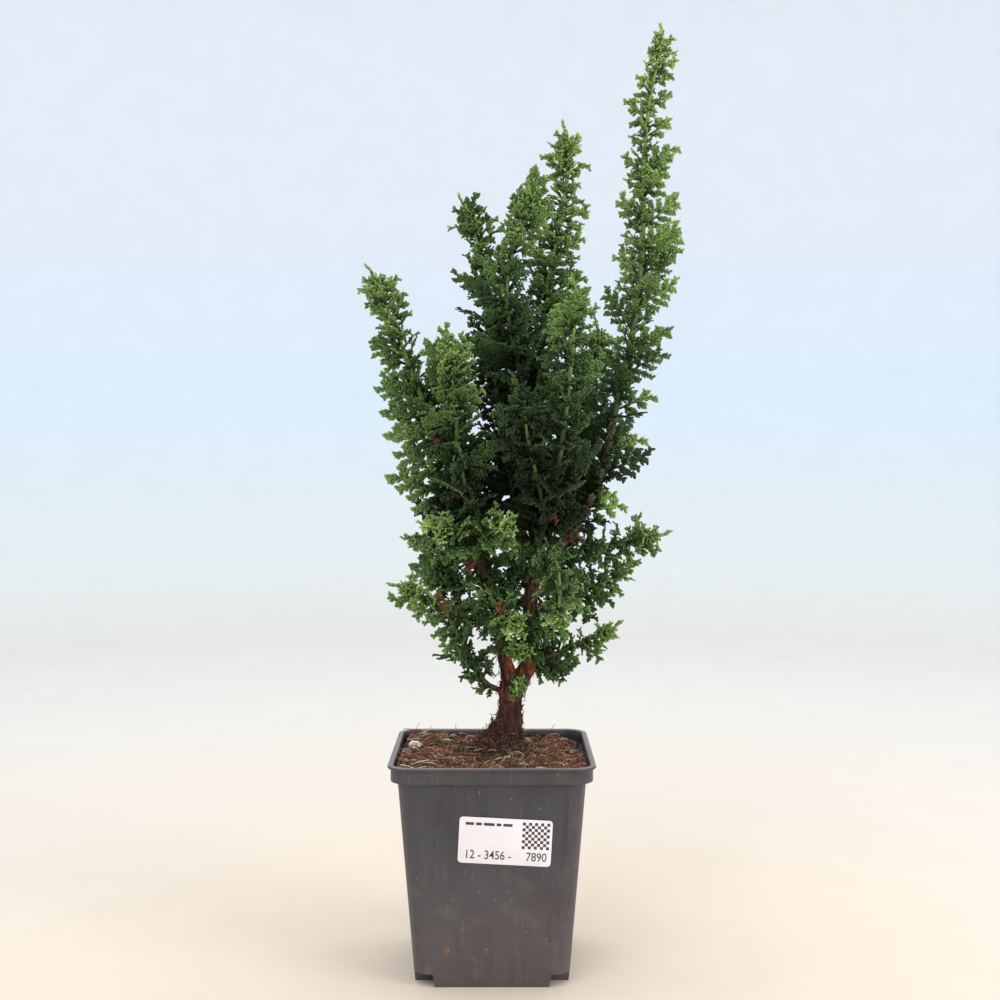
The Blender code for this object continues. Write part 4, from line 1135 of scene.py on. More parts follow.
def build_trunk():
    """Trunk and limbs fused to one skin, with fibrous ridges, lifted strips and moss."""
    settings = bpy.context.scene.bonsai_tree
    bm = bmesh.new()
    lines = []
    for rows, sides in ((TRUNK_LINE, 40), (LEFT_LIMB, 24), (RIGHT_LIMB, 28), (STUB, 14)):
        line, radii = limb_line(rows, 2 * MM)
        lines.append(line)
        part = bmesh.new()
        skin_rings(part, tube_rings(line, radii, sides))
        scrap = bpy.data.meshes.new("limb")
        part.to_mesh(scrap)
        part.free()
        bm.from_mesh(scrap)
        bpy.data.meshes.remove(scrap)
    trunk = scratch_object("trunk_skin", bm)
    remesh = trunk.modifiers.new("fuse", "REMESH")
    remesh.mode = "VOXEL"
    remesh.voxel_size = 0.75 * MM
    smooth = trunk.modifiers.new("ease", "SMOOTH")
    smooth.factor = 0.5
    smooth.iterations = 6
    bm = evaluated_bmesh(trunk)
    drop(trunk)
    bm.normal_update()
    moved = []
    for vert in bm.verts:
        lift = bark_lift(vert.co, lines, settings.bark_ridge)
        if vert.co.z < 0.1165:
            lift = min(lift, 0.0) * 0.3
        else:
            lift += root_flare(vert.co)
        moved.append(vert.co + vert.normal * lift)
    for vert, place in zip(bm.verts, moved):
        vert.co = place
    tree = tree_of(bm)
    finish_piece("barked_trunk", bm, [bark()], ("trunk",))
    build_strips(tree, lines)
    soil = bmesh.new()
    soil.from_mesh(bpy.data.meshes["peat_soil"])
    build_moss(tree, tree_of(soil))
    soil.free()


def bark_frame(line, j, draw, tree):
    """Place on the bark beside a point of a limb, its outward direction and the limb's own."""
    along = (line[j + 1] - line[j]).normalized()
    side, up = frame_along(along)
    turn = draw.uniform(0, math.tau)
    outward = side * math.cos(turn) + up * math.sin(turn)
    spot = tree.ray_cast(line[j] + outward * 20 * MM, -outward, 20 * MM)[0]
    return spot, outward, along


def strip_mesh(lift):
    """Narrow tapered strip along X, one unit long and wide, that lifts towards its end."""
    bm = bmesh.new()
    bmesh.ops.create_grid(bm, x_segments=5, y_segments=1, size=0.5)
    for vert in bm.verts:
        share = vert.co.x + 0.5
        vert.co.x = share - 0.3
        vert.co.y *= 1 - 0.7 * abs(2 * share - 1) ** 2
        vert.co.z = lift * share * share
    bmesh.ops.solidify(bm, geom=bm.faces[:], thickness=0.02)
    bmesh.ops.recalc_face_normals(bm, faces=bm.faces)
    return pattern_mesh("strip", bm)


def build_strips(tree, lines):
    """Narrow strips and hair-like fibres of bark that lift all along the trunk and limbs."""
    draw = random.Random(SEED + 200)
    strips = [strip_mesh(lift) for lift in (0.04, 0.12, 0.22)]
    fibres = fibre_meshes(draw)
    bm = bmesh.new()
    bm.verts.layers.float.new("tone")
    for i in range(1100):
        line = draw.choices(lines[:3], (6, 2, 3))[0]
        j = draw.randrange(2, len(line) - 3)
        if line[j].z < 0.117:
            continue
        spot, outward, along = bark_frame(line, j, draw, tree)
        if spot is None:
            continue
        across = along.cross(outward).normalized()
        turn = Matrix((along, across, outward)).transposed().to_4x4()
        skew = Matrix.Rotation(draw.gauss(0, 0.35) + draw.choice((0, math.pi)), 4, "Z")
        place = Matrix.Translation(spot + outward * 0.1 * MM) @ turn @ skew
        # Strips low on the trunk get a darker tone: painted shade
        tone = draw.random() ** 1.5 * min(1.0, max(0.5, (spot.z - 0.12) / 0.03))
        if i % 3:
            length = draw.uniform(2.5, 7) * MM
            size = Matrix.Scale(length, 4)
            add_copy(bm, draw.choice(fibres), place @ size, tone=tone)
        else:
            length = draw.uniform(3, 9) * MM
            size = Matrix.Diagonal((length, draw.uniform(0.5, 1.4) * MM, length, 1.0))
            add_copy(bm, draw.choice(strips), place @ size, tone=tone)
    for _ in range(960):
        angle = draw.gauss(math.radians(195), 1.3)
        outward = Vector((math.cos(angle), math.sin(angle), 0.0))
        rise = 115.5 * MM + abs(draw.gauss(0, 11.5)) * MM
        start = Vector((*FOOT_PLACE, rise)) + outward * 30 * MM
        spot = tree.ray_cast(start, -outward, 40 * MM)[0]
        if spot is None:
            continue
        across = outward.cross(Vector((0, 0, 1)))
        turn = Matrix((outward, across, outward.cross(across))).transposed().to_4x4()
        skew = Matrix.Rotation(draw.uniform(-1.5, 1.5), 4, draw.choice(("Y", "Z")))
        size = Matrix.Scale(draw.uniform(2.0, 5.5) * MM, 4)
        loose = max(0.0, 1 - (rise - 115 * MM) / (27 * MM)) * max(0.15, -math.cos(angle))
        spot += outward * (draw.uniform(0, 4.5) * loose - 0.3) * MM
        place = Matrix.Translation(spot) @ turn @ skew @ size
        add_copy(bm, draw.choice(fibres), place, tone=draw.random() ** 1.6)
    drop_meshes([*strips, *fibres])
    finish_piece("bark_strips", bm, [bark_strips()])


def build_moss(tree, ground):
    """Short blades of moss on the trunk's foot and over the soil in front of it."""
    draw = random.Random(SEED + 300)
    blade = bmesh.new()
    bmesh.ops.create_cone(blade, cap_ends=True, segments=3, radius1=0.2, radius2=0.03, depth=1.0,
                          matrix=Matrix.Translation((0, 0, 0.4)))
    mesh = pattern_mesh("blade", blade)
    bm = bmesh.new()
    bm.verts.layers.float.new("tone")
    for _ in range(420):
        angle = draw.gauss(math.radians(240), 0.8)
        outward = Vector((math.cos(angle), math.sin(angle), 0.0))
        start = Vector((FOOT_PLACE[0], FOOT_PLACE[1], 115.5 * MM + abs(draw.gauss(0, 6.5)) * MM))
        spot = tree.ray_cast(start + outward * 30 * MM, -outward, 40 * MM)[0]
        if spot is None:
            continue
        spread = Vector((draw.gauss(0, 0.5), draw.gauss(0, 0.5), draw.uniform(-0.1, 1.1)))
        heading = (outward + spread).normalized()
        side, up = frame_along(heading)
        turn = Matrix((side, up, heading)).transposed().to_4x4()
        size = Matrix.Scale(draw.uniform(0.9, 2.4) * MM, 4)
        tone = min(1.0, draw.random() ** 1.5)
        add_copy(bm, mesh, Matrix.Translation(spot) @ turn @ size, tone=tone)
    for x, y, spread, count, pale in MOSS_PATCHES:
        for _ in range(count):
            place = Vector((draw.gauss(x, spread) * MM, draw.gauss(y, spread) * MM, 0.0))
            place.z = ground_at(ground, place.x, place.y) or 0.0
            if place.z < 0.1 or max(abs(place.x), abs(place.y)) > 49 * MM:
                continue
            heading = Vector((draw.gauss(0, 0.6), draw.gauss(0, 0.6), 1.0)).normalized()
            side, up = frame_along(heading)
            turn = Matrix((side, up, heading)).transposed().to_4x4()
            size = Matrix.Scale(draw.uniform(1.1, 3.1) * MM, 4)
            tone = min(1.0, pale + draw.random() ** 2 * 0.6)
            add_copy(bm, mesh, Matrix.Translation(place) @ turn @ size, tone=tone)
    drop_meshes([mesh])
    finish_piece("foot_moss", bm, [moss_leaf()])


def clears(point, radius, trees):
    """Whether a ball round a point lies outside all trees with a gap to spare."""
    for tree in trees:
        spot, normal, _, distance = tree.find_nearest(point)
        inside = (point - spot).dot(normal) < 0 and distance < LIMB_REACH
        if inside or distance < radius + GAP:
            return False
    return True


def free_start(line, radius, trees):
    """The part of a line that starts as soon as a round end of this radius clears all trees."""
    first = next(i for i, point in enumerate(line) if clears(point, radius, trees))
    start = line[first]
    for step in range(1, FINE_STEPS):
        back = line[first].lerp(line[first - 1], step / FINE_STEPS)
        if not clears(back, radius, trees):
            break
        start = back
    return [start] + line[first + 1:], line[max(0, first - 3):first]


def spray_outline(length, lobes, draw):
    """Flat fan cut into lobes all round its rib, as the solids have it."""
    hub = FAN_HUB * length
    points = [(hub, 0.0), (-SINK, -HALF_RIB)]
    for i in range(lobes):
        spread = 2 * i / (lobes - 1) - 1
        angle = spread * FAN_SPREAD
        reach = (length - hub) * draw.uniform(0.92, 1.06) * (1 - 0.22 * spread * spread)
        if i:
            notch = angle - FAN_SPREAD / (lobes - 1)
            depth = (length - hub) * draw.uniform(0.50, 0.64)
            points.append((hub + depth * math.cos(notch), depth * math.sin(notch)))
        points.append((hub + reach * math.cos(angle), reach * math.sin(angle)))
    points.append((-SINK, HALF_RIB))
    last = len(points) - 1
    triangles = [(0, i, i + 1) for i in range(1, last)]
    triangles.append((0, last, 1))
    return points, triangles


def spray_plate(length, lobes, droop, draw):
    """Fan as a thin arched plate: its points in its own frame and its triangles."""
    flat, triangles = spray_outline(length, lobes, draw)
    rises = []
    for x, y in flat:
        along = x / length
        across = y / length
        rises.append(-droop * length * along * abs(along) - 0.55 * length * across * across)
    half = SPRAY_THICK / 2
    top = [Vector((x, y, z + half)) for (x, y), z in zip(flat, rises)]
    base = [Vector((x, y, z - half)) for (x, y), z in zip(flat, rises)]
    shift = len(flat)
    faces = list(triangles)
    faces += [(c + shift, b + shift, a + shift) for a, b, c in triangles]
    edges = {(a, b) for face in triangles for a, b in zip(face, face[1:] + face[:1])}
    for a, b in sorted(edges):
        if (b, a) not in edges:
            faces.append((b, a, a + shift))
            faces.append((b, a + shift, b + shift))
    return top + base, faces


def spray_frame(root, along, turn, lean, roll):
    """Matrix of a spray whose rib leans away from the stem's direction at an angle round it."""
    side, up = frame_along(along)
    outward = side * math.cos(turn) + up * math.sin(turn)
    rib = (along.normalized() * math.cos(lean) + outward * math.sin(lean)).normalized()
    across = rib.cross(outward)
    if across.length < 0.01:
        across = rib.cross(up)
    across = Matrix.Rotation(roll, 3, rib) @ across.normalized()
    normal = rib.cross(across)
    return Matrix.LocRotScale(root, Matrix((rib, across, normal)).transposed(), None)


def point_on(line, share):
    """Place and direction at a share of a line's length."""
    lengths = [0.0]
    for a, b in zip(line, line[1:]):
        lengths.append(lengths[-1] + (b - a).length)
    wanted = share * lengths[-1]
    for i in range(1, len(line)):
        if lengths[i] >= wanted:
            break
    part = (wanted - lengths[i - 1]) / (lengths[i] - lengths[i - 1])
    return line[i - 1].lerp(line[i], part), line[i] - line[i - 1]


def spray_places(row, line, draw):
    """Where one leafy stem's sprays grow: share of the stem, turn, length, lean and roll."""
    _, _, count, foot_length, tip_length, bare, _ = row
    places = []
    for i in range(count - 1):
        share = bare + (1 - bare) * i / (count - 1)
        turn = math.radians(QUARTER_TURNS[i % 4] + draw.uniform(-24, 24))
        length = (foot_length + (tip_length - foot_length) * share ** 2) * draw.uniform(0.92, 1.1)
        lean = SPRAY_LEAN * draw.uniform(0.85, 1.2)
        low, high = SPRAY_ROLLS[i % 2]
        roll = math.radians(draw.uniform(low, high)) * draw.choice((-1, 1))
        places.append((share, turn, length * MM, lean, roll))
    places.append((0.995, 0.0, tip_length * MM, math.radians(4), draw.uniform(-0.6, 0.6)))
    return places


def plate_tree(matrix, points, faces):
    """Search tree of a fan's plate in the tree's frame."""
    return BVHTree.FromPolygons([matrix @ point for point in points], faces)


def grown_spray(line, place, draw, others):
    """First turn or size of a spray that crosses nothing that grew before, or None."""
    share, turn, length, lean, roll = place
    root, along = point_on(line, share)
    lobes = 6 if length > LARGE_SPRAY else 5
    points, faces = spray_plate(length, lobes, draw.uniform(0.10, 0.30), draw)
    for size in (1.0, 0.75):
        for extra in RETRY_TURNS:
            matrix = spray_frame(root, along, turn + math.radians(extra), lean, roll)
            tree = plate_tree(matrix @ Matrix.Scale(size * 1.05, 4), points, faces)
            if not any(tree.overlap(other) for other in others):
                grown = plate_tree(matrix @ Matrix.Scale(size, 4), points, faces)
                return matrix, length * size, grown
    return None


def grow_stems(trunk_tree):
    """Line, way in and search tree of every leafy stem, each starting at what carries it."""
    stems = {}
    for row in LEAFY_STEMS:
        name, radius, route = row[0], row[1] * MM, row[6]
        whole = curve_points([Vector(point) * MM for point in route], LINE_STEP)
        carriers = [trunk_tree] + [stem["tree"] for stem in stems.values()]
        free, way_in = free_start(whole, radius, carriers)
        free = free[:max(5, len(free) - round(0.85 * row[4] * MM / LINE_STEP))]
        parts = max(2, round(len(free) * LINE_STEP / STEM_STEP))
        line = [free[round(i * (len(free) - 1) / parts)] for i in range(parts + 1)]
        radii = [radius + (STEM_TIP - radius) * i / parts for i in range(parts + 1)]
        bm = bmesh.new()
        skin_rings(bm, tube_rings(line, radii, STEM_SIDES))
        stems[name] = {"line": line, "free": free, "way_in": way_in, "tree": tree_of(bm)}
        bm.free()
    return stems


def grow_sprays(stems, solids):
    """Frame and length of every spray of every stem, none crossing another."""
    grown = {row[0]: [] for row in LEAFY_STEMS}
    for index, row in enumerate(LEAFY_STEMS):
        name = row[0]
        draw = random.Random(SEED + index)
        others = list(solids) + [stem["tree"] for key, stem in stems.items() if key != name]
        others += [spray[2] for sprays in grown.values() for spray in sprays]
        for place in spray_places(row, stems[name]["line"], draw):
            spray = grown_spray(stems[name]["line"], place, draw, others)
            if spray:
                grown[name].append(spray)
                others.append(spray[2])
    return grown


def shoot_mesh(length, rings):
    """Straight flattened shoot along X through rings of (place, width), with a blunt end."""
    bm = bmesh.new()
    tip = bm.verts.layers.float.new("tip")
    size = 0.62
    turn = Matrix.Rotation(math.radians(90), 4, "Y")
    flat = Matrix.Diagonal((1.0, SHOOT_WIDTH / 2 * size, SHOOT_THICK / 2 * size, 1.0))
    bmesh.ops.create_circle(bm, cap_ends=True, segments=4, radius=1.0, matrix=flat @ turn)
    edges = bm.edges[:]
    place = 0.0
    for x, wanted in rings:
        grown = bmesh.ops.extrude_edge_only(bm, edges=edges)["geom"]
        verts = [item for item in grown if isinstance(item, bmesh.types.BMVert)]
        edges = [item for item in grown if isinstance(item, bmesh.types.BMEdge)
                 and all(vert in verts for vert in item.verts)]
        bmesh.ops.translate(bm, vec=(x - place, 0, 0), verts=verts)
        bmesh.ops.scale(bm, vec=(1.0, wanted / size, wanted / size), verts=verts)
        place, size = x, wanted
    bmesh.ops.holes_fill(bm, edges=edges, sides=4)
    bmesh.ops.recalc_face_normals(bm, faces=bm.faces)
    for vert in bm.verts:
        vert[tip] = max(0.0, min(1.0, vert.co.x / length))
    return pattern_mesh("shoot", bm), length


def shoots_of(detail):
    """Finger and longer shoots; the ones with detail bulge before their blunt end."""
    if detail:
        shapes = ((3.2, ((0.6, 1.06), (1.0, 0.42))), (8.0, ((0.5, 0.9), (0.85, 1.0), (1.0, 0.5))))
    else:
        shapes = ((3.2, ((1.0, 0.78),)), (8.0, ((0.7, 1.0), (1.0, 0.6))))
    return [shoot_mesh(length * MM, [(length * MM * share, width) for share, width in rings])
            for length, rings in shapes]


def add_shoot(bm, shoots, start, heading, tilt, length, ends):
    """Copy of the shoot that fits a length, from a start along a heading in the spray's plane."""
    mesh, own = min(shoots, key=lambda shoot: abs(shoot[1] - length))
    first = len(bm.verts)
    bm.from_mesh(mesh)
    bm.verts.ensure_lookup_table()
    fresh = bm.verts[first:]
    stretch = Matrix.Diagonal((length / own, 1.0, 1.0, 1.0))
    turn = Matrix.Rotation(heading, 4, "Z") @ Matrix.Rotation(tilt, 4, "Y")
    bmesh.ops.transform(bm, matrix=Matrix.Translation(start) @ turn @ stretch, verts=fresh)
    tip = bm.verts.layers.float["tip"]
    for vert in fresh:
        vert[tip] = ends[0] + (ends[1] - ends[0]) * vert[tip]


def add_fingers(bm, shoots, start, way, heading, reach, near, draw):
    """Short fingers in close pairs along one branchlet."""
    count = max(1, round(reach / FINGER_STEP) - 1)
    for j in range(count):
        for side in (-1, 1):
            part = (j + 0.62 + 0.2 * side) / (count + 0.55)
            lean = side * math.radians(draw.uniform(37, 52))
            size = draw.uniform(2.5, 3.9) * MM * (1 - 0.3 * part)
            tilt = math.radians(draw.uniform(-22, 16))
            glow = near + 0.3 * part
            place = start + way * reach * part
            add_shoot(bm, shoots, place, heading + lean, tilt, size, (glow * 0.5, glow + 0.35))


def spray_pattern(shoots, length, draw):
    """Flat spray of shoots: a rib, branchlets on both sides, and fingers on those."""
    bm = bmesh.new()
    bm.verts.layers.float.new("tip")
    add_shoot(bm, shoots, Vector((-SINK, 0.0, 0.0)), 0.0, 0.0, length * 0.94, (0.0, 0.9))
    count = max(4, round(length * 0.84 / BRANCHLET_STEP))
    for i in range(count):
        share = 0.05 + 0.84 * i / (count - 1)
        sign = 1 if i % 2 else -1
        angle = sign * math.radians(60 - 28 * share + draw.uniform(-7, 7))
        reach = max(2.6 * MM, length * (0.57 - 0.38 * share) * draw.uniform(0.8, 1.14))
        start = Vector((length * share, 0.0, 0.0))
        tilt = math.radians(draw.uniform(-11, 11))
        near = 0.2 + 0.45 * share
        add_shoot(bm, shoots, start, angle, tilt, reach, (near * 0.4, near + 0.35))
        flat = math.cos(tilt)
        way = Vector((math.cos(angle) * flat, math.sin(angle) * flat, -math.sin(tilt)))
        add_fingers(bm, shoots, start, way, angle, reach, near, draw)
    start, way = Vector((length * 0.5, 0.0, 0.0)), Vector((1.0, 0.0, 0.0))
    add_fingers(bm, shoots, start, way, 0.0, length * 0.44, 0.5, draw)
    droop = draw.uniform(0.08, 0.24)
    for vert in bm.verts:
        along = vert.co.x / length
        across = vert.co.y / length
        vert.co.z -= length * (droop * along * abs(along) + 0.35 * across * across)
    return pattern_mesh("spray_pattern", bm)


def spray_patterns(shoots, draw):
    """A few kinds of spray for every pattern length."""
    return {length: [spray_pattern(shoots, length, draw) for _ in range(PATTERN_KINDS)]
            for length in PATTERN_LENGTHS}


def add_spray(bm, patterns, matrix, length, draw, **values):
    """Copy of the spray pattern nearest to a length, at a frame, with its own values."""
    own = min(PATTERN_LENGTHS, key=lambda size: abs(size - length))
    mesh = draw.choice(patterns[own])
    add_copy(bm, mesh, matrix @ Matrix.Scale(length / own, 4), **values)


def add_stem(bm, stem, radius):
    """Round stem from inside what carries it to its tip, brown to green."""
    line = (stem["way_in"] + stem["free"])[::3] + [stem["free"][-1]]
    count = len(line) - 1
    radii = [radius + (STEM_TIP * 0.8 - radius) * i / count for i in range(count + 1)]
    radii[-1] *= 0.6
    part = bmesh.new()
    skin_rings(part, tube_rings(line, radii, 8))
    layer = part.verts.layers.float.new("tip")
    for vert in part.verts:
        best = min(range(len(line)), key=lambda i: (vert.co - line[i]).length)
        vert[layer] = best / count
    for face in part.faces:
        face.material_index = 1
    mesh = bpy.data.meshes.new("stem")
    part.to_mesh(mesh)
    part.free()
    bm.from_mesh(mesh)
    bpy.data.meshes.remove(mesh)


def filling_sprays(row, stem, draw, step):
    """Small sprays between the main ones, turned by the golden angle up the stem."""
    name, _, _, foot_length, tip_length, bare, _ = row
    sparser, shorter = SLENDER.get(name, (1.0, 1.0))
    step *= sparser
    total = len(stem["free"]) * LINE_STEP
    count = max(3, round(total * (1 - 0.5 * bare) / step))
    for i in range(count):
        share = 0.5 * bare + (1 - 0.5 * bare) * (i + 0.5) / count
        root, along = point_on(stem["line"], share)
        full = (foot_length + (tip_length - foot_length) * share ** 2) * MM
        length = full * max(shorter, share ** 3) * draw.uniform(0.55, 0.95)
        lean = math.radians(draw.uniform(32, 66))
        roll = draw.uniform(-1.4, 1.4)
        yield share, spray_frame(root, along, i * GOLDEN_TURN, lean, roll), length
    for i in range(7):
        root, along = point_on(stem["line"], 0.995 - 0.01 * i)
        lean = 0.1 + 0.09 * i
        size = tip_length * (0.5 + 0.04 * i) * MM
        yield 1.0, spray_frame(root, along, i * GOLDEN_TURN, lean, 0.6), size


def aimed_spray(start, tip, roll):
    """Frame and length of a spray from a start to a tip, facing the front but for a roll."""
    rib = (tip - start).normalized()
    across = Matrix.Rotation(roll, 3, rib) @ rib.cross(Vector((0, -1, 0))).normalized()
    turn = Matrix((rib, across, rib.cross(across))).transposed()
    return Matrix.LocRotScale(start, turn, None), (tip - start).length


def outline_sprays(name, stem, draw):
    """Sprays that end where the outline needs them, each from lower down its stem."""
    line = stem["free"]
    for x, z in OUTER_TIPS.get(name, ()):
        flat = [math.hypot(point.x - x * MM, point.z - z * MM) for point in line]
        near = min(range(len(line)), key=lambda i: flat[i])
        foot = line[max(0, near - round(0.8 * flat[near] / LINE_STEP))]
        tip = Vector((x * MM, line[near].y + draw.uniform(-4, 4) * MM, z * MM))
        yield aimed_spray(foot, foot.lerp(tip, 0.9), draw.uniform(-0.5, 0.5))


def dead_sprays(stems):
    """Short sprays that have died, each on the frontmost stem that passes behind its place."""
    points = [point for stem in stems.values() for point in stem["free"]]
    for x, z in DEAD_TIPS:
        near = [point for point in points
                if math.hypot(point.x - x * MM, point.z - z * MM) < 9 * MM]
        if near:
            foot = min(near, key=lambda point: point.y)
            yield aimed_spray(foot, Vector((x * MM, foot.y - 5.5 * MM, z * MM)), 0.5)


def build_limb_twigs(stems, patterns, materials):
    """Small sprays that grow straight from the old wood of the limbs."""
    draw = random.Random(SEED + 500)
    bm = bmesh.new()
    for layer in ("tip", "fresh", "dead"):
        bm.verts.layers.float.new(layer)
    for foot, tip in LIMB_TWIGS:
        start, end = Vector(foot) * MM, Vector(tip) * MM
        for roll in (draw.uniform(-0.4, 0.4), draw.uniform(0.9, 1.5)):
            matrix, length = aimed_spray(start, end, roll)
            glow = draw.uniform(-0.3, 0.25)
            add_spray(bm, patterns, matrix, length, draw, fresh=glow, dead=0.0)
    for matrix, length in dead_sprays(stems):
        add_spray(bm, patterns, matrix, length, draw, fresh=0.0, dead=0.85)
    finish_piece("limb_twigs", bm, materials)


def freshness_and_shade_at(fresh, share, reach):
    """How fresh a spray is: darkened by painted shade low on a long stem, young and bright at the
    end.
    """
    # Painted shade: this term darkens sprays low on long stems, deep inside the crown
    depth = 0.95 * min(1.0, reach / (150 * MM))
    return fresh * (0.55 + 0.5 * share) + 0.4 * share ** 4 - depth * (1 - share) ** 2


def build_leafy_stem(row, stem, sprays, kinds, materials, step):
    """One leafy stem: its wood, its main sprays and the small ones between them."""
    name = row[0]
    fine, plain = kinds
    draw = random.Random(SEED + hash_of(name))
    fresh = FRESHNESS_AND_SHADE.get(name, USUAL_FRESHNESS)
    bm = bmesh.new()
    for layer in ("tip", "fresh", "dead"):
        bm.verts.layers.float.new(layer)
    add_stem(bm, stem, row[1] * MM)
    foot = stem["free"][0]
    reach = sum((b - a).length for a, b in zip(stem["line"], stem["line"][1:]))
    for matrix, length, _ in sprays:
        share = min(1.0, (matrix.translation - foot).length / reach)
        glow = freshness_and_shade_at(fresh, share, reach) + draw.uniform(-0.1, 0.14)
        add_spray(bm, fine, matrix, length, draw, fresh=glow, dead=0.0)
    for share, matrix, length in filling_sprays(row, stem, draw, step):
        glow = freshness_and_shade_at(fresh, share, reach) + draw.uniform(-0.25, 0.05)
        add_spray(bm, plain, matrix, length, draw, fresh=glow, dead=0.0)
    for matrix, length in outline_sprays(name, stem, draw):
        add_spray(bm, fine, matrix, length, draw, fresh=fresh + draw.uniform(-0.1, 0.2), dead=0.0)
    finish_piece(name + "_growth", bm, materials, (name,))


def hash_of(name):
    """Small steady number from a name."""
    return sum((i + 1) * ord(letter) for i, letter in enumerate(name)) % 9973


def build_foliage():
    """Every leafy stem by the growth rule."""
    settings = bpy.context.scene.bonsai_tree
    solids = [tree_of_node(name) for name in ("trunk", "pot", "soil")]
    stems = grow_stems(solids[0])
    grown = grow_sprays(stems, solids)
    draw = random.Random(SEED + 400)
    shoots = [shoots_of(detail) for detail in (True, False)]
    kinds = [spray_patterns(pair, draw) for pair in shoots]
    materials = [scale_leaf(), young_bark()]
    for row in LEAFY_STEMS:
        name = row[0]
        build_leafy_stem(row, stems[name], grown[name], kinds, materials, settings.filling)
    build_limb_twigs(stems, kinds[1], materials)
    drop_meshes([mesh for pair in shoots for mesh, _ in pair])
    drop_meshes([mesh for kind in kinds for meshes in kind.values() for mesh in meshes])


def stage_paint():
    """Backdrop board, rolled with matt paint."""
    made, tree, shader, place = new_material("Matt painted backdrop")
    # Cream at the floor and pale blue-grey higher up, with the faint mottle of a roller
    height = add_node(tree, "SeparateXYZ", (place,), output="Z")
    away = add_node(tree, "VectorMath", (place,), output=1, operation="LENGTH")
    away = add_node(tree, "MapRange", (away, 0.15, 1.0, 0.0, 0.12))
    height = add_node(tree, "Math", (height, away), operation="ADD")
    base = add_node(tree, "ValToRGB", (height,), stops=(
        (0.0, "e3d4c2"), (0.06, "e3dcd2"), (0.2, "dee4e2"), (0.5, "d5e2ee"), (1.0, "e1e4ec")))
    mottle = add_node(tree, "TexNoise", {"Vector": place, "Scale": 1 / (60 * MM)})
    shade = add_node(tree, "MapRange", (mottle, 0.3, 0.7, 0.98, 1.0))
    base = add_node(tree, "Mix", {0: 1.0, 6: base, 7: shade}, 2, data_type="RGBA",
                    blend_type="MULTIPLY")
    feed(tree, shader, {"Base Color": base, "Roughness": 0.9})
    return made


def area_light(name, place, target, size, power, colour):
    """Square light of a size in metres that faces a target."""
    light = bpy.data.lights.new(name, "AREA")
    light.shape = "SQUARE"
    light.size = size
    light.energy = power
    light.color = colour
    lamp = bpy.data.objects.new(name, light)
    lamp.location = place
    lamp.visible_camera = False
    lamp.rotation_euler = (Vector(target) - Vector(place)).to_track_quat("-Z", "Y").to_euler()
    bpy.context.scene.collection.objects.link(lamp)


def build_stage():
    """Round pale floor that curves up into a wall, soft lights and the camera."""
    settings = bpy.context.scene.bonsai_stage
    bm = bmesh.new()
    bmesh.ops.create_grid(bm, x_segments=96, y_segments=48, size=1.0)
    flat = 1.4
    radius = 0.8
    arc = radius * math.pi / 2
    total = 3.5
    for vert in bm.verts:
        turn = vert.co.x * math.pi
        way = (vert.co.y + 1) / 2 * total
        if way < flat:
            out, z = way, 0.0
        elif way < flat + arc:
            angle = (way - flat) / radius
            out, z = flat + radius * math.sin(angle), radius * (1 - math.cos(angle))
        else:
            out, z = flat + radius, radius + way - flat - arc
        vert.co = Vector((out * math.sin(turn), out * math.cos(turn), z))
    bmesh.ops.remove_doubles(bm, verts=bm.verts, dist=0.1 * MM)
    mesh = bpy.data.meshes.new("backdrop")
    bm.to_mesh(mesh)
    bm.free()
    mesh.materials.append(stage_paint())
    mesh.shade_smooth()
    backdrop = bpy.data.objects.new("backdrop", mesh)
    bpy.context.scene.collection.objects.link(backdrop)
    middle = (0.0, 0.0, 0.28)
    area_light("key", (-0.7, -1.5, 1.5), middle, 1.2, settings.key_power, (1.0, 0.99, 0.97))
    area_light("fill", (1.4, -0.9, 0.7), middle, 0.9, settings.fill_power, (1.0, 0.97, 0.93))
    area_light("top", (0.1, 0.3, 1.9), middle, 1.4, settings.key_power, (0.97, 0.99, 1.0))
    area_light("backdrop_wash", (0.0, 0.5, 2.4), (0.0, 1.9, 0.6), 2.0, 4.0, (0.96, 0.98, 1.0))
    world = bpy.data.worlds.new("soft_room")
    world.use_nodes = True
    tree = world.node_tree
    feed(tree, tree.nodes["Background"], {"Color": (0.95, 0.96, 0.98, 1.0), "Strength": 0.84})
    bpy.context.scene.world = world
    bpy.context.scene.view_settings.view_transform = "Standard"
    camera = bpy.data.cameras.new("camera")
    camera.lens = CAMERA_LENS
    camera.sensor_width = 36.0
    eye = bpy.data.objects.new("camera", camera)
    eye.location = CAMERA_PLACE
    eye.rotation_euler = (math.radians(90) - CAMERA_PITCH, 0.0, 0.0)
    bpy.context.scene.collection.objects.link(eye)
    bpy.context.scene.camera = eye


class BONSAI_OT_pot(bpy.types.Operator):
    """Build the moulded pot"""

    bl_idname = "bonsai.pot"
    bl_label = "Pot"

    def execute(self, context):
        """Build the piece."""
        build_pot()
        return {"FINISHED"}


class BONSAI_OT_label(bpy.types.Operator):
    """Build the label and its plain marks"""

    bl_idname = "bonsai.label"
    bl_label = "Label"

    def execute(self, context):
        """Build the pieces."""
        build_label()
        return {"FINISHED"}


class BONSAI_OT_soil(bpy.types.Operator):
    """Build the soil with its crumbs and fibres"""

    bl_idname = "bonsai.soil"
    bl_label = "Soil"

    def execute(self, context):
        """Build the pieces."""
        build_soil()
        return {"FINISHED"}


class BONSAI_OT_stones(bpy.types.Operator):
    """Build the two loose stones"""

    bl_idname = "bonsai.stones"
    bl_label = "Stones"

    def execute(self, context):
        """Build the pieces."""
        build_stone("white_pebble", "f3ece2", "ab9885")
        build_stone("green_pebble", "c2c596", "7c8456")
        return {"FINISHED"}


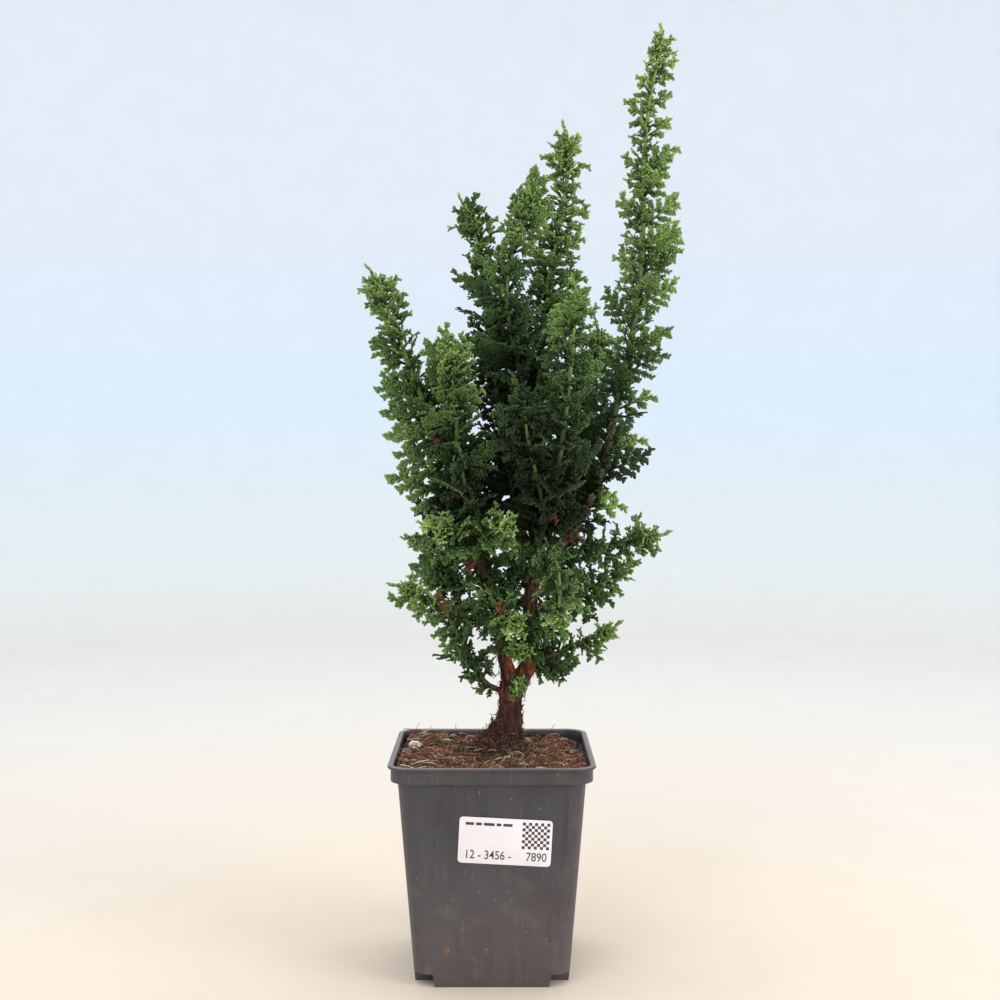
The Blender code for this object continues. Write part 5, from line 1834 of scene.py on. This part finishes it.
class BONSAI_OT_trunk(bpy.types.Operator):
    """Build the barked trunk with its limbs, strips and moss"""

    bl_idname = "bonsai.trunk"
    bl_label = "Trunk"

    def execute(self, context):
        """Build the pieces."""
        build_trunk()
        return {"FINISHED"}


class BONSAI_OT_foliage(bpy.types.Operator):
    """Build every leafy stem"""

    bl_idname = "bonsai.foliage"
    bl_label = "Foliage"

    def execute(self, context):
        """Build the pieces."""
        build_foliage()
        return {"FINISHED"}


class BONSAI_OT_stage(bpy.types.Operator):
    """Build the floor, lights and camera"""

    bl_idname = "bonsai.stage"
    bl_label = "Stage"

    def execute(self, context):
        """Build the stage."""
        build_stage()
        return {"FINISHED"}


class BONSAI_PT_panel(bpy.types.Panel):
    """Sidebar panel with the settings and builders"""

    bl_idname = "BONSAI_PT_panel"
    bl_label = "Bonsai"
    bl_space_type = "VIEW_3D"
    bl_region_type = "UI"
    bl_category = "Bonsai"

    def draw(self, context):
        """List the settings of each group and the builders."""
        for group in ("bonsai_pot", "bonsai_soil", "bonsai_tree", "bonsai_stage"):
            settings = getattr(context.scene, group)
            box = self.layout.box()
            for key in settings.__annotations__:
                box.prop(settings, key)
        for operator in OPERATORS:
            self.layout.operator(operator.bl_idname)


OPERATORS = (
    BONSAI_OT_pot, BONSAI_OT_label, BONSAI_OT_soil, BONSAI_OT_stones, BONSAI_OT_trunk,
    BONSAI_OT_foliage, BONSAI_OT_stage,
)
GROUPS = {
    "bonsai_pot": PotSettings,
    "bonsai_soil": SoilSettings,
    "bonsai_tree": TreeSettings,
    "bonsai_stage": StageSettings,
}


def register():
    """Register the classes and hang the settings on the scene."""
    for name, group in GROUPS.items():
        bpy.utils.register_class(group)
        setattr(bpy.types.Scene, name, PointerProperty(type=group))
    for item in (*OPERATORS, BONSAI_PT_panel):
        bpy.utils.register_class(item)


def unregister():
    """Undo register."""
    for item in (BONSAI_PT_panel, *reversed(OPERATORS)):
        bpy.utils.unregister_class(item)
    for name, group in reversed(GROUPS.items()):
        delattr(bpy.types.Scene, name)
        bpy.utils.unregister_class(group)


def main():
    """Register and build every piece."""
    register()
    for operator in OPERATORS:
        group, name = operator.bl_idname.split(".")
        getattr(getattr(bpy.ops, group), name)()


if __name__ == "__main__":
    main()
